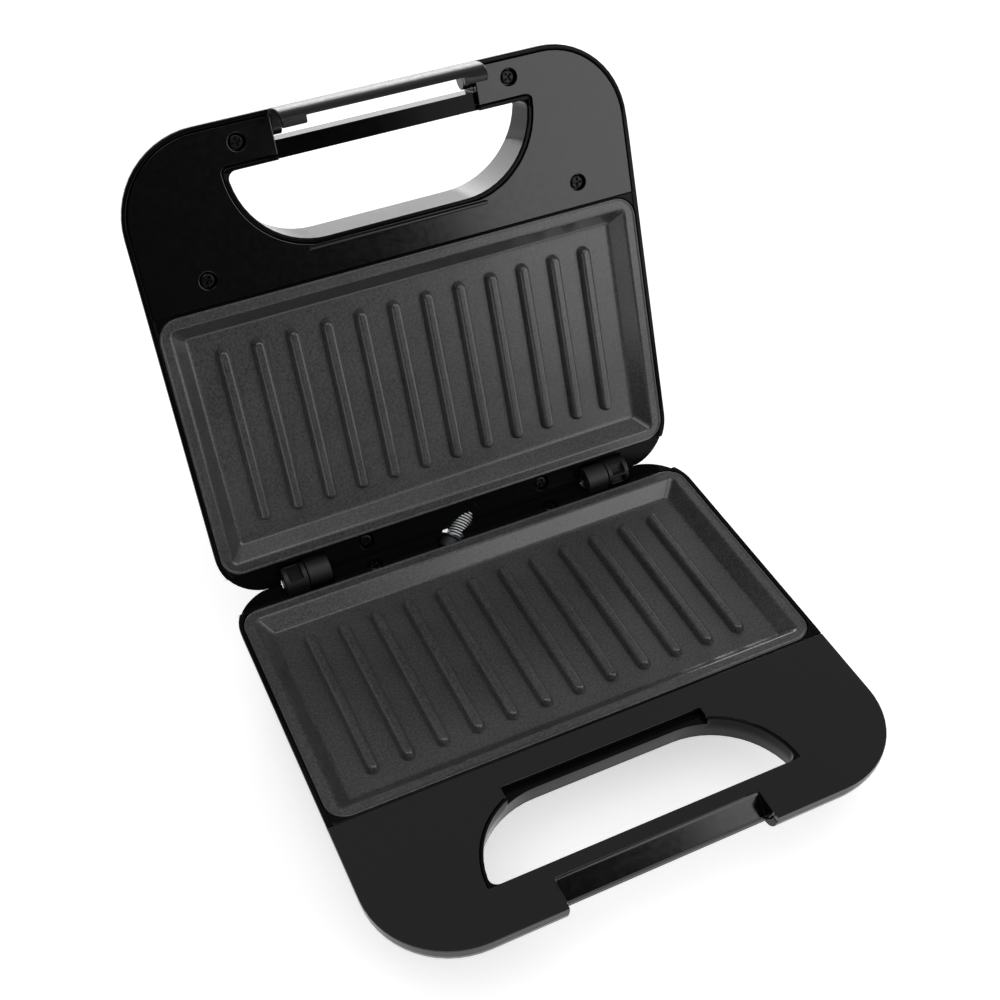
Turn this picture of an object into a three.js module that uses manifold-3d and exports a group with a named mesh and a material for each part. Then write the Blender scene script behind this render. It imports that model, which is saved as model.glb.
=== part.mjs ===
// Contact grill with two hinged halves, standing open.
// Millimetres, +Z up, front towards -Y. The origin is on the table, under the middle of the open grill.
import * as THREE from "three";
import { mergeVertices } from "three/addons/utils/BufferGeometryUtils.js";
import Module from "manifold-3d";

const wasm = await Module();
wasm.setup();

// Driving dimensions

// Cast plates
const plateWidth = 216;
const plateDepth = 116.6;
const plateCorner = 9;
const flangeThickness = 2.2;
const flangeWidth = 5.4;
const wallRun = 6.2; // how far a sloping wall of the pan runs in
const panDepth = 7;
const panFloor = 3;
const panCorner = 5;
const ribCount = 12;
const ribRadius = 2.8;
const ribHeight = 3.4;
const ribSideMargin = 24.4; // outermost ribs inside the plate's edge
const ribEndMargin = 18.8;
const ribPitch = (plateWidth - 2 * ribSideMargin) / (ribCount - 1);
const ribLength = plateDepth - 2 * ribEndMargin;

// Where the two halves stand
const baseDepth = 40; // plate rim to the underside
const footHeight = 6;
const flangeHeight = baseDepth + footHeight; // table to the rim of the lower plate
const closedGap = 3; // between the two plate rims when the grill is shut
const openAngle = THREE.MathUtils.degToRad(109.8);
const hingeOffset = 8.9; // hinge axis behind the plate's edge
const hingeBehind = plateDepth / 2 + hingeOffset;
const hingeRise = 1.7; // hinge axis above the lower plate's rim

// Tubular heater and the seat cast for it
const heaterRadius = 3.25;
const heaterSideMargin = 28; // inside the plate's edge
const heaterEndMargin = 22.3;
const heaterHalfWidth = plateWidth / 2 - heaterSideMargin;
const heaterHalfDepth = plateDepth / 2 - heaterEndMargin;
const heaterBend = 18;
const heaterOpening = 44; // between the heater's two ends
const seatWidth = 12;
const seatHeight = 3.2;
const coldPinRadius = 1.2;
const coldPinLength = 9;

// Heat reflector under each heater
const reflectorThickness = 0.9;
const reflectorDepth = 10;
const reflectorSideMargin = 15; // inside the plate's edge
const reflectorEndMargin = 8.3;
const reflectorHalfWidth = plateWidth / 2 - reflectorSideMargin;
const reflectorHalfDepth = plateDepth / 2 - reflectorEndMargin;
const reflectorLip = 4;

// Housings
const sideMargin = 2.2; // housing beside the plate
const halfWidth = plateWidth / 2 + sideMargin;
const coverGap = 1.3; // between plate and handle cover
const coverBehind = plateDepth / 2 + coverGap; // rear edge of both covers
const handleReach = 69.4; // length of both handle covers
const frontReach = coverBehind + handleReach;
const rearMargin = 2.8; // housing behind the hinge axis
const rearReach = hingeBehind + rearMargin;
const frontCorner = 36;
const rearCorner = 22;
const wall = 2.2;
const lidDepth = 35; // plate rim to the top of the lid
const handleDepth = 12.4; // thickness of the lower handle
const bowlOffset = 11.9; // front of the lower housing in front of the cover's rear edge
const bowlReach = coverBehind + bowlOffset;
const seatFrame = 3; // frame that carries the plate rim
const stripDrop = 1.5; // rear strip below the plate rim
const stripThickness = 7;
const stripChamfer = 1.25; // small, so that the open lid's edge closes the view between the halves
const clearance = 0.35; // between neighbouring pieces
const overrun = 2; // how far a cut runs past what it cuts

// Handle covers and finger holes
const baseCoverThickness = 3;
const lidCoverThickness = 2.4;
const rimWidth = 2; // edge of the lid shell that shows round the inner cover
const gripWidth = 20; // front bar of a handle
const holeFront = frontReach - gripWidth;
const holeRadius = 34;
const holeHalfStraight = 31;
const holeCorner = 3.5;
const holeWall = 2;
const holeDraft = 1.8; // widening of the lower hole towards the table
const tongueHalfWidth = 40;
const tongueDepth = 1.6;
const tongueThickness = 3;
const rebateHalfWidth = 44;
const holeLip = 1.2; // edge of the lower housing that shows round its hole
const rebateWidth = 3.8; // recess behind the lower hole

// Closing clip, its cut-out in the lid and its shelf in the base
const cutoutHalfWidth = 43.5;
const cutoutWidth = 12.6; // front edge to the rear wall of the cut-out
const cutoutRear = frontReach - cutoutWidth;
const clipSideGap = 0.4;
const clipHalfWidth = cutoutHalfWidth - clipSideGap;
const clipProud = 0.8; // outer face of the clip in front of the lid
const clipReach = frontReach + clipProud;
const clipThickness = 2.4;
const clipTop = 8.2; // top edge of the clip above the lid's rim plane
const clipDrop = 17; // lowest point of the clip under the lid's rim plane
const clipBend = 4.4;
const hookReach = 6.9; // how far the hooks reach back
const lipReach = 3.8; // and the lip between them
const clipTip = clipReach - hookReach;
const clipLip = clipReach - lipReach;
const hookWidth = 10;
const clipPivotInset = 7.6; // trunnions behind the clip's outer face
const clipPivotReach = clipReach - clipPivotInset;
const clipPivotRise = 6;
const earRadius = 4.2;
const earWidth = 4;
const trunnionRadius = 1.5;
const shelfDepth = 8.3; // top of the shelf under the rim plane
const shelfThickness = 2.7;
const shelfInset = 6.7; // front edge of the shelf behind the housing's
const shelfFront = frontReach - shelfInset;
const pocketInset = 13.6; // where the ramp to the shelf starts at the top face
const pocketTop = frontReach - pocketInset;
const shelfFoot = 4; // underside of the shelf, front to back
const pocketWall = 2.2;
const endWall = 1.8;

// Hinges
const hingeSideMargin = 34; // middle of a hinge inside the plate's edge
const hingeSpacing = plateWidth - 2 * hingeSideMargin;
const knuckleRadius = 6;
const knuckleLength = 10.3;
const knuckleGap = 0.4;
const hingePinRadius = 2;
const pinHole = 2.35;
const armThickness = 4.6;
const armReach = 15; // how far an arm goes into its housing
const armFront = 5.6; // front face of the arm in front of the hinge axis
const coreOut = 3; // moulding recess in a knuckle
const coreDepth = 2.2;

// Screws
const screwHeadRadius = 3;
const screwHeadHeight = 1.9;
const screwShankRadius = 1.5;
const screwLength = 11;
const screwSink = 0.9; // head below the face round it
const bossRadius = 4.6;
const cupFloor = 1.2; // under a recessed head
const pilotRadius = 1.9;
const headClearance = 0.6;
const lidScrewBeside = 15; // front screws beside the clip's cut-out
const lidScrewInset = 9.4; // and behind the front edge
const lidScrewSide = 27.4; // rear screws inside the housing's side
const lidScrewForward = 10.1; // and in front of the cover's rear edge
const lidScrewsFront = { out: cutoutHalfWidth + lidScrewBeside, forward: frontReach - lidScrewInset };
const lidScrewsRear = { out: halfWidth - lidScrewSide, forward: coverBehind + lidScrewForward };
const baseScrewSide = 26.2;
const baseScrewInset = 24;
const baseScrewsFront = { out: halfWidth - baseScrewSide, forward: frontReach - baseScrewInset };
const baseScrewsRear = { out: halfWidth - baseScrewSide, forward: coverBehind + lidScrewForward };
const rearScrewInside = 30.5; // rear screws inside the middles of the hinges
const rearScrewOffset = 4.5; // and behind the plate's edge
const rearScrewOut = hingeSpacing / 2 - rearScrewInside;
const rearScrews = { out: rearScrewOut, forward: -plateDepth / 2 - rearScrewOffset };

// Conduit between the halves, wound from wire
const conduitRadius = 3.8; // to the middle of the wire
const conduitWire = 0.85;
const conduitPitch = 1.36;
const conduitCurlSteps = 8;
const conduitSides = 5;
const conduitFromBase = { across: -4.7, front: 2.2, depth: 5.5 }; // front: before the hinge axis
const conduitToLid = { across: 11, front: 4.6, depth: 8.5 };
const conduitSeat = 4; // how far it goes on into each half
const bushWall = 1.3;
const bushFlange = 1.4;
const bushHeight = 1.2;
const bushBoss = 1.6;

// Parts on and in the base
const footRadius = 8.5;
const footTaper = 1.4;
const footStud = 3;
const footStudLength = 4;
const footSideMargin = 35.2; // inside the housing's side
const footFrontMargin = 29.5;
const footRearMargin = 15;
const footOut = halfWidth - footSideMargin;
const footFront = bowlReach - footFrontMargin;
const footRear = rearReach - footRearMargin;
const glandRadius = 6;
const glandBore = 3.4;
const glandLength = 14;
const glandFlange = 1.8;
const glandFlangeThickness = 2;
const glandHeight = 16; // middle above the underside
const glandDepth = baseDepth - glandHeight;
const glandCollar = 0.9;
const thermostatRadius = 9;
const thermostatHeight = 7;
const tabWidth = 5;
const tabThickness = 0.8;
const tabLength = 8;
const fuseRadius = 2.2;
const fuseLength = 14;
const fuseLead = 0.6;
const fuseLeadLength = 6;
const fuseSide = 42;
const blockWidth = 30;
const blockLength = 15;
const blockClearance = 6.1; // under the heat reflector
const reflectorUnder = panDepth + panFloor + clearance + reflectorDepth;
const blockHeight = baseDepth - wall - clearance - reflectorUnder - blockClearance;
const blockWayShare = 0.2; // radius of a way in the block's height
const blockWayRadius = blockHeight * blockWayShare;
const blockWayPitch = 9;
const blockInset = 38; // middle of the block inside the housing's rear
const blockBehind = rearReach - blockInset;

// Indicator lenses on the lid
const lensRadius = 3;
const lensFlange = 1.2;
const lensStand = 1.1;
const lensSpacing = 22;
const lensForward = 14;

// Facets
const cornerSteps = 6;
const roundSides = 24;
const smallSides = 12;
const heaterSides = 8;
const weld = 1e-4; // vertices closer than this are one

const flangePocket = { half: plateWidth / 2 + clearance, reach: plateDepth / 2 + clearance };
const lidPlane = flangeHeight + closedGap;
const base = -1; // depth runs down in the base
const lid = 1; // and up in the lid
const quarter = Math.PI / 2;

// Finishes
const finish = (name, color, roughness, metalness) =>
  new THREE.MeshStandardMaterial({ name, color, roughness, metalness });
const glossBlack = finish("gloss black plastic", 0x0b0b0d, 0.16, 0);
const coverBlack = finish("black cover plastic", 0x131315, 0.24, 0);
const matteGrey = finish("matt grey plastic", 0x2a2a2c, 0.6, 0);
const nonStick = finish("non-stick coating", 0x2b2d30, 0.55, 0.2);
const steel = finish("zinc-plated steel", 0xb9bcc0, 0.35, 1);
const brightSteel = finish("bright steel wire", 0xd6d8da, 0.22, 1);
const sheathSteel = finish("heater sheath", 0x6b6762, 0.5, 1);
const sheetSteel = finish("aluminised sheet", 0xa7abb0, 0.4, 1);
const ceramic = finish("ceramic", 0xe6e1d6, 0.7, 0);
const rubber = finish("rubber", 0x151515, 0.85, 0);
const redLens = finish("red lens", 0xb01616, 0.15, 0);
const greenLens = finish("green lens", 0x1c8c3a, 0.15, 0);

// Solids for joining and cutting

function solidOf(geometry) {
  const flat = geometry.index ? geometry.toNonIndexed() : geometry;
  const bare = new THREE.BufferGeometry();
  bare.setAttribute("position", flat.getAttribute("position"));
  const merged = mergeVertices(bare, weld);
  const vertProperties = new Float32Array(merged.attributes.position.array);
  const triVerts = new Uint32Array(merged.index.array);
  const make = () => new wasm.Manifold(new wasm.Mesh({ numProp: 3, vertProperties, triVerts }));
  const made = make();
  if (made.volume() > 0) return made;
  for (let i = 0; i < triVerts.length; i += 3) {
    [triVerts[i + 1], triVerts[i + 2]] = [triVerts[i + 2], triVerts[i + 1]];
  }
  return make();
}

const join = (...solids) => solids.reduce((whole, next) => whole.add(next));
const cut = (whole, ...tools) => tools.reduce((left, tool) => left.subtract(tool), whole);

function geometryOf(solid) {
  const mesh = solid.getMesh();
  const geometry = new THREE.BufferGeometry();
  const position = new Float32Array(mesh.numVert * 3);
  for (let i = 0; i < mesh.numVert; i++) {
    const start = i * mesh.numProp;
    position.set(mesh.vertProperties.subarray(start, start + 3), i * 3);
  }
  geometry.setAttribute("position", new THREE.BufferAttribute(position, 3));
  geometry.setIndex(new THREE.BufferAttribute(new Uint32Array(mesh.triVerts), 1));
  return geometry;
}

function piece(name, solid, material, parent) {
  const flat = geometryOf(solid).toNonIndexed();
  flat.computeVertexNormals();
  const mesh = new THREE.Mesh(flat, material);
  mesh.name = name;
  parent.add(mesh);
  return mesh;
}

// Forms. Depth is measured from a half's rim plane into its housing.

function arc(x, y, radius, from, to, steps = cornerSteps) {
  return Array.from({ length: steps + 1 }, (_, i) => {
    const angle = from + ((to - from) * i) / steps;
    return new THREE.Vector2(x + radius * Math.cos(angle), y + radius * Math.sin(angle));
  });
}

// A plan outline with round corners
function outline(front, rear, half, frontRadius, rearRadius) {
  return [
    ...arc(half - rearRadius, rear - rearRadius, rearRadius, 0, quarter),
    ...arc(rearRadius - half, rear - rearRadius, rearRadius, quarter, 2 * quarter),
    ...arc(frontRadius - half, frontRadius - front, frontRadius, 2 * quarter, 3 * quarter),
    ...arc(half - frontRadius, frontRadius - front, frontRadius, 3 * quarter, 4 * quarter),
  ];
}

const rectangle = (half, reach, radius) => outline(reach, reach, half, radius, radius);

// A closed surface through rings of equally many points
function loft(rings) {
  const count = rings[0].points.length;
  const position = rings.flatMap(({ points, z }) => points.flatMap((p) => [p.x, p.y, z]));
  const index = [];
  for (let ring = 0; ring + 1 < rings.length; ring++) {
    for (let i = 0; i < count; i++) {
      const next = (i + 1) % count;
      const [a, b] = [ring * count + i, ring * count + next];
      index.push(a, b, b + count, a, b + count, a + count);
    }
  }
  const last = (rings.length - 1) * count;
  for (const [a, b, c] of THREE.ShapeUtils.triangulateShape(rings[0].points, [])) {
    index.push(a, c, b);
  }
  for (const [a, b, c] of THREE.ShapeUtils.triangulateShape(rings.at(-1).points, [])) {
    index.push(last + a, last + b, last + c);
  }
  const geometry = new THREE.BufferGeometry();
  geometry.setAttribute("position", new THREE.Float32BufferAttribute(position, 3));
  geometry.setIndex(index);
  return solidOf(geometry);
}

const slab = (side, points, near, far) =>
  loft([
    { points, z: side * near },
    { points, z: side * far },
  ]);

function block(side, left, right, front, rear, near, far) {
  const [low, high] = [Math.min(side * near, side * far), Math.max(side * near, side * far)];
  const box = new THREE.BoxGeometry(right - left, rear - front, high - low);
  box.translate((left + right) / 2, (front + rear) / 2, (low + high) / 2);
  return solidOf(box);
}

function post(side, x, y, near, far, radius, farRadius = radius, sides = smallSides) {
  const [top, bottom] = side > 0 ? [farRadius, radius] : [radius, farRadius];
  const cylinder = new THREE.CylinderGeometry(top, bottom, far - near, sides);
  cylinder.rotateX(quarter);
  cylinder.translate(x, y, (side * (near + far)) / 2);
  return solidOf(cylinder);
}

// A bar of constant section along X. The section is drawn as points of (y, depth).
function alongX(side, section, left, right) {
  const shape = new THREE.Shape(section.map(([y, depth]) => new THREE.Vector2(y, side * depth)));
  const bar = new THREE.ExtrudeGeometry(shape, { depth: right - left, bevelEnabled: false });
  const turned = new THREE.Matrix4().makeBasis(
    new THREE.Vector3(0, 1, 0),
    new THREE.Vector3(0, 0, 1),
    new THREE.Vector3(1, 0, 0),
  );
  bar.applyMatrix4(turned);
  bar.translate(left, 0, 0);
  return solidOf(bar);
}

function rodX(y, z, left, right, radius, sides = roundSides) {
  const rod = new THREE.CylinderGeometry(radius, radius, right - left, sides);
  rod.rotateZ(quarter);
  rod.translate((left + right) / 2, y, z);
  return solidOf(rod);
}

// The D-shaped finger hole, widened by grow on every side
function holeOutline(grow) {
  const radius = holeRadius + grow;
  const front = -holeFront - grow;
  const inner = radius - holeCorner;
  const run = Math.sqrt(inner ** 2 - (holeCorner - grow) ** 2);
  const cornerX = holeHalfStraight + run;
  const turn = Math.atan2(holeCorner - grow, run);
  return [
    ...arc(cornerX, front + holeCorner, holeCorner, -quarter, turn, 4),
    ...arc(holeHalfStraight, -holeFront, radius, turn, quarter),
    ...arc(-holeHalfStraight, -holeFront, radius, quarter, 2 * quarter - turn),
    ...arc(-cornerX, front + holeCorner, holeCorner, 2 * quarter - turn, 3 * quarter, 4),
  ];
}

// Housing forms: each row is depth, front, rear, half width, front radius and rear radius,
// as shares of the size that each of them follows.
const handleFormShares = [
  [0, 1, 1, 1, 1, 1],
  [0.32, 0.997, 1, 0.998, 1, 1],
  [0.65, 0.986, 0.997, 0.991, 0.99, 1],
  [0.89, 0.963, 0.991, 0.977, 0.95, 1],
  [1, 0.919, 0.987, 0.966, 0.89, 1],
];
const bowlFormShares = [
  [0.036, 1, 0.986, 0.957, 0.84, 1],
  [0.3, 0.93, 0.98, 0.935, 0.75, 0.98],
  [0.72, 0.84, 0.972, 0.9, 0.62, 0.9],
  [0.92, 0.79, 0.957, 0.868, 0.52, 0.8],
  [1, 0.74, 0.93, 0.82, 0.42, 0.68],
];
const domeFormShares = [
  [0, 1, 1, 1, 1, 1],
  [0.115, 0.998, 1, 0.998, 1, 1],
  [0.23, 0.984, 0.994, 0.989, 1, 1],
  [0.345, 0.946, 0.983, 0.971, 0.99, 1],
  [0.43, 0.876, 0.969, 0.951, 0.97, 1],
  [0.515, 0.76, 0.949, 0.926, 0.94, 0.99],
  [0.63, 0.636, 0.914, 0.889, 0.89, 0.95],
  [0.745, 0.543, 0.869, 0.848, 0.83, 0.9],
  [0.86, 0.442, 0.8, 0.794, 0.75, 0.81],
  [0.945, 0.333, 0.686, 0.717, 0.64, 0.7],
  [0.99, 0.233, 0.571, 0.635, 0.52, 0.58],
  [1, 0.171, 0.486, 0.581, 0.44, 0.5],
];

const formRows = (shares, start, depth, reach) =>
  shares.map(([d, front, rear, half, frontRadius, rearRadius]) => ({
    depth: start + d * depth,
    front: front * reach,
    rear: rear * rearReach,
    half: half * halfWidth,
    frontRadius: frontRadius * frontCorner,
    rearRadius: rearRadius * rearCorner,
  }));

const baseRows = [
  ...formRows(handleFormShares, 0, handleDepth, frontReach),
  ...formRows(bowlFormShares, handleDepth, baseDepth - handleDepth, bowlReach),
];
const lidRows = formRows(domeFormShares, 0, lidDepth, frontReach);

// The housing form pulled in by inset on every side
function form(side, rows, inset) {
  const rings = rows.map((row) => ({
    points: outline(
      row.front - inset,
      row.rear - inset,
      row.half - inset,
      row.frontRadius - inset,
      row.rearRadius - inset,
    ),
    z: side * (row.depth - inset),
  }));
  return loft(inset ? [{ points: rings[0].points, z: -side * (overrun + inset) }, ...rings] : rings);
}

const screwPlaces = ({ out, forward }) => [
  [-out, -forward],
  [out, -forward],
];
const lidScrewPlaces = [...screwPlaces(lidScrewsFront), ...screwPlaces(lidScrewsRear)];
const baseScrewPlaces = [...screwPlaces(baseScrewsFront), ...screwPlaces(baseScrewsRear)];
const rearScrewPlaces = screwPlaces(rearScrews);

// A pan-head screw whose head is nearest to its own side's rim plane
function screw(side, x, y, headTop, length = screwLength) {
  return join(
    post(side, x, y, headTop, headTop + screwHeadHeight, screwHeadRadius),
    post(side, x, y, headTop + screwHeadHeight / 2, headTop + length, screwShankRadius),
  );
}

const farEdge = 2 * frontReach; // past the housing on every side

// Frame round the plate, with the strip behind it that carries the hinges
function plateFrame(side, whole) {
  const pan = rectangle(
    plateWidth / 2 - flangeWidth + panFloor + clearance,
    plateDepth / 2 - flangeWidth + panFloor + clearance,
    panCorner + panFloor,
  );
  const underRim = flangeThickness + clearance;
  const band = join(
    block(side, -farEdge, farEdge, -coverBehind, farEdge, clearance, underRim + seatFrame),
    block(side, -farEdge, farEdge, plateDepth / 2, farEdge, stripDrop, stripDrop + stripThickness),
  ).intersect(whole);
  const chamfer = alongX(
    side,
    [
      [rearReach - stripChamfer, stripDrop - overrun],
      [rearReach - stripChamfer, stripDrop],
      [rearReach + overrun, stripDrop + stripChamfer + overrun],
      [rearReach + overrun, stripDrop - overrun],
    ],
    -farEdge,
    farEdge,
  );
  const strip = block(
    side,
    -farEdge,
    farEdge,
    flangePocket.reach,
    farEdge,
    -overrun,
    stripDrop,
  );
  const recess = slab(
    side,
    rectangle(flangePocket.half, flangePocket.reach, plateCorner + clearance),
    -overrun,
    underRim,
  );
  const opening = slab(side, pan, -overrun, underRim + stripThickness + overrun);
  const boss = conduitPost(side, -bushBoss, conduitSeat - bushHeight, bushRadius + bushBoss).intersect(whole);
  return { band: cut(join(band, boss), opening), cuts: [recess, chamfer, strip] };
}

// Holes for the hinge knuckles, their arms, the conduit and the rear screws
function hingeCuts(side) {
  const cuts = [];
  const axisDepth = side > 0 ? hingeRise - closedGap : -hingeRise;
  const pocketDepth = axisDepth + knuckleRadius + 2 * clearance;
  const halfPocket = knuckleLength + 2 * clearance;
  const armSide = side > 0 ? 1 : -1;
  for (const x of [-hingeSpacing / 2, hingeSpacing / 2]) {
    const pocketFront = hingeBehind - knuckleRadius - 2 * clearance;
    cuts.push(block(side, x - halfPocket, x + halfPocket, pocketFront, farEdge, -overrun, pocketDepth));
    const middle = x + (armSide * (knuckleLength + knuckleGap)) / 2;
    const half = knuckleLength / 2 + clearance;
    const front = hingeBehind - armFront - clearance;
    const rear = hingeBehind - armFront + armThickness + clearance;
    cuts.push(block(side, middle - half, middle + half, front, rear, 0, armReach + overrun));
  }
  cuts.push(
    conduitPost(side, -overrun - bushBoss, conduitSeat, bushRadius + clearance),
    conduitPost(side, conduitSeat - bushHeight, farEdge, bushRadius + bushFlange + clearance),
  );
  for (const [x, y] of rearScrewPlaces) {
    const seat = stripDrop + screwSink + screwHeadHeight + clearance;
    cuts.push(
      post(side, x, y, 0, seat, screwHeadRadius + headClearance, undefined, roundSides),
      post(side, x, y, 0, armReach + overrun, pilotRadius),
    );
  }
  return cuts;
}

// Base housing

function baseShell() {
  const outer = form(base, baseRows, 0);
  const hollow = form(base, baseRows, wall);
  const { band, cuts } = plateFrame(base, outer);
  const coverSeat = baseCoverThickness + clearance;
  const tube = slab(base, holeOutline(holeWall + holeDraft), coverSeat, baseDepth).intersect(outer);
  const lip = lipForm(holeLip, 0);
  const ledge = rebateBlock(wall, coverSeat, coverSeat + wall);
  const bosses = baseScrewPlaces.map(([x, y]) =>
    post(base, x, y, coverSeat, handleDepth * 2, bossRadius).intersect(outer),
  );
  const screwCuts = baseScrewPlaces.flatMap(([x, y]) => [
    post(base, x, y, 0, baseDepth, pilotRadius),
    post(base, x, y, baseScrewHead - clearance, baseDepth, screwHeadRadius + headClearance),
  ]);
  const finger = loft([
    { points: holeOutline(0), z: overrun },
    { points: holeOutline(0), z: -baseCoverThickness },
    { points: holeOutline(holeDraft), z: -handleDepth },
    { points: holeOutline(holeDraft), z: -baseDepth },
  ]);
  const notch = block(
    base,
    -cutoutHalfWidth,
    cutoutHalfWidth,
    -farEdge,
    -pocketTop + pocketWall + clearance,
    -overrun,
    baseDepth,
  );
  const coverSpace = block(
    base,
    -farEdge,
    farEdge,
    -farEdge,
    clearance - coverBehind,
    -overrun,
    coverSeat,
  ).subtract(lip);
  const studHoles = footPlaces.map(([x, y]) =>
    post(base, x, y, baseDepth / 2, baseDepth + overrun, footStud + clearance),
  );
  const glandHole = glandForm(glandRadius + clearance, hingeBehind - glandLength, farEdge);
  return cut(
    join(cut(outer, hollow), band, tube, lip, ledge, ...bosses),
    finger,
    notch,
    coverSpace,
    rebateBlock(0, -overrun, coverSeat),
    ...screwCuts,
    ...cuts,
    ...hingeCuts(base),
    ...studHoles,
    glandHole,
  );
}

// The lower hole widened by grow at its sides and rear, through the cover's thickness
function lipForm(grow, near) {
  const behindFront = block(base, -farEdge, farEdge, -holeFront, farEdge, -farEdge, farEdge);
  return slab(base, holeOutline(grow), near, baseCoverThickness + holeLip).intersect(behindFront);
}

// The recess behind the lower hole, widened by grow
function rebateBlock(grow, near, far) {
  const half = rebateHalfWidth + grow;
  return block(base, -half, half, -holeFront, holeRadius - holeFront + rebateWidth + grow, near, far);
}

const footPlaces = [
  [-footOut, -footFront],
  [footOut, -footFront],
  [-footOut, footRear],
  [footOut, footRear],
];
const baseScrewHead = handleDepth - screwSink - screwHeadHeight;
const bushRadius = conduitRadius + conduitWire / 2 + clearance + bushWall;

function glandForm(radius, front, rear) {
  const rod = new THREE.CylinderGeometry(radius, radius, rear - front, roundSides);
  rod.translate(0, (front + rear) / 2, -glandDepth);
  return solidOf(rod);
}

// Flat cover of the lower handle, with the pocket and shelf that the clip grips
function baseHandleCover() {
  const edge = outline(frontReach, rearReach, halfWidth, frontCorner, rearCorner);
  const top = slab(base, edge, 0, baseCoverThickness);
  const behind = block(base, -farEdge, farEdge, -coverBehind, farEdge, -overrun, baseDepth);
  const hole = slab(base, holeOutline(0), -overrun, baseDepth);
  const lip = lipForm(holeLip + clearance, -overrun);
  const notch = block(base, -cutoutHalfWidth, cutoutHalfWidth, -farEdge, -pocketTop, -overrun, baseDepth);
  const pocket = alongX(
    base,
    [
      [-pocketTop + pocketWall, 0],
      [-pocketTop, 0],
      [-shelfFront, shelfDepth],
      [-shelfFront, shelfDepth + shelfThickness],
      [shelfFoot - shelfFront, shelfDepth + shelfThickness],
      [-pocketTop + pocketWall, baseCoverThickness],
    ],
    -cutoutHalfWidth + clearance,
    cutoutHalfWidth - clearance,
  );
  const inside = form(base, baseRows, wall + clearance);
  const cheeks = [-1, 1].map((way) => {
    const [near, far] = [cutoutHalfWidth - clearance, cutoutHalfWidth + endWall];
    const [left, right] = way > 0 ? [near, far] : [-far, -near];
    return block(base, left, right, -frontReach, pocketWall - pocketTop, 0, handleDepth)
      .intersect(inside)
      .subtract(hole);
  });
  const screwPilots = baseScrewPlaces.map(([x, y]) =>
    post(base, x, y, baseCoverThickness / 2 - clearance, baseDepth, pilotRadius),
  );
  const recess = rebateBlock(0, -overrun, baseDepth);
  return cut(join(cut(top, behind, notch), pocket, ...cheeks), hole, lip, recess, ...screwPilots);
}

// Lid housing

function lidShell() {
  const outer = form(lid, lidRows, 0);
  const hollow = form(lid, lidRows, wall);
  const { band, cuts } = plateFrame(lid, outer);
  const tube = slab(lid, holeOutline(holeWall), 0, lidDepth).intersect(outer);
  const bar = block(
    lid,
    -cutoutHalfWidth - wall,
    cutoutHalfWidth + wall,
    -cutoutRear,
    -holeFront,
    coverSink,
    lidDepth,
  ).intersect(outer);
  const ends = [-1, 1].map((way) => {
    const [near, far] = [cutoutHalfWidth, cutoutHalfWidth + wall];
    const [left, right] = way > 0 ? [near, far] : [-far, -near];
    return block(lid, left, right, -farEdge, -cutoutRear, coverSink, lidDepth).intersect(outer);
  });
  const bosses = lidScrewPlaces.map(([x, y]) =>
    post(lid, x, y, cupDepth, lidDepth, bossRadius + wall).intersect(outer),
  );
  const screwCuts = lidScrewPlaces.flatMap(([x, y]) => [
    post(lid, x, y, -overrun, cupDepth + clearance, bossRadius + clearance, undefined, roundSides),
    post(lid, x, y, 0, screwLength + overrun, pilotRadius),
  ]);
  const cutout = block(lid, -cutoutHalfWidth, cutoutHalfWidth, -farEdge, -cutoutRear, -overrun, lidDepth);
  const barTop = block(
    lid,
    -cutoutHalfWidth,
    cutoutHalfWidth,
    -cutoutRear - overrun,
    -holeFront,
    -overrun,
    coverSink,
  );
  const coverSpace = cut(
    slab(lid, insetEdge(rimWidth), -overrun, coverSink),
    block(lid, -farEdge, farEdge, clearance - coverBehind, farEdge, -2 * overrun, lidDepth),
    slab(lid, holeOutline(holeWall), -2 * overrun, lidDepth),
  );
  const pinHoles = rodX(
    -clipPivotReach,
    clipPivotRise,
    -cutoutHalfWidth - wall - overrun,
    cutoutHalfWidth + wall + overrun,
    trunnionRadius + clearance,
    smallSides,
  );
  const lensHoles = lensPlaces.map(([x, y]) =>
    post(lid, x, y, lidDepth / 2, lidDepth + overrun, lensRadius + clearance, undefined, roundSides),
  );
  return cut(
    join(cut(outer, hollow), band, tube, bar, ...ends, ...bosses),
    slab(lid, holeOutline(0), -overrun, lidDepth + overrun),
    cutout,
    barTop,
    coverSpace,
    ...screwCuts,
    pinHoles,
    ...lensHoles,
    ...cuts,
    ...hingeCuts(lid),
  );
}
const coverSink = lidCoverThickness + clearance;
const cupDepth = screwSink + screwHeadHeight + cupFloor;
const insetEdge = (inset) =>
  outline(frontReach - inset, rearReach, halfWidth - inset, frontCorner - inset, rearCorner);
const lensPlaces = [
  [-lensSpacing / 2, -lensForward],
  [lensSpacing / 2, -lensForward],
];

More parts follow.
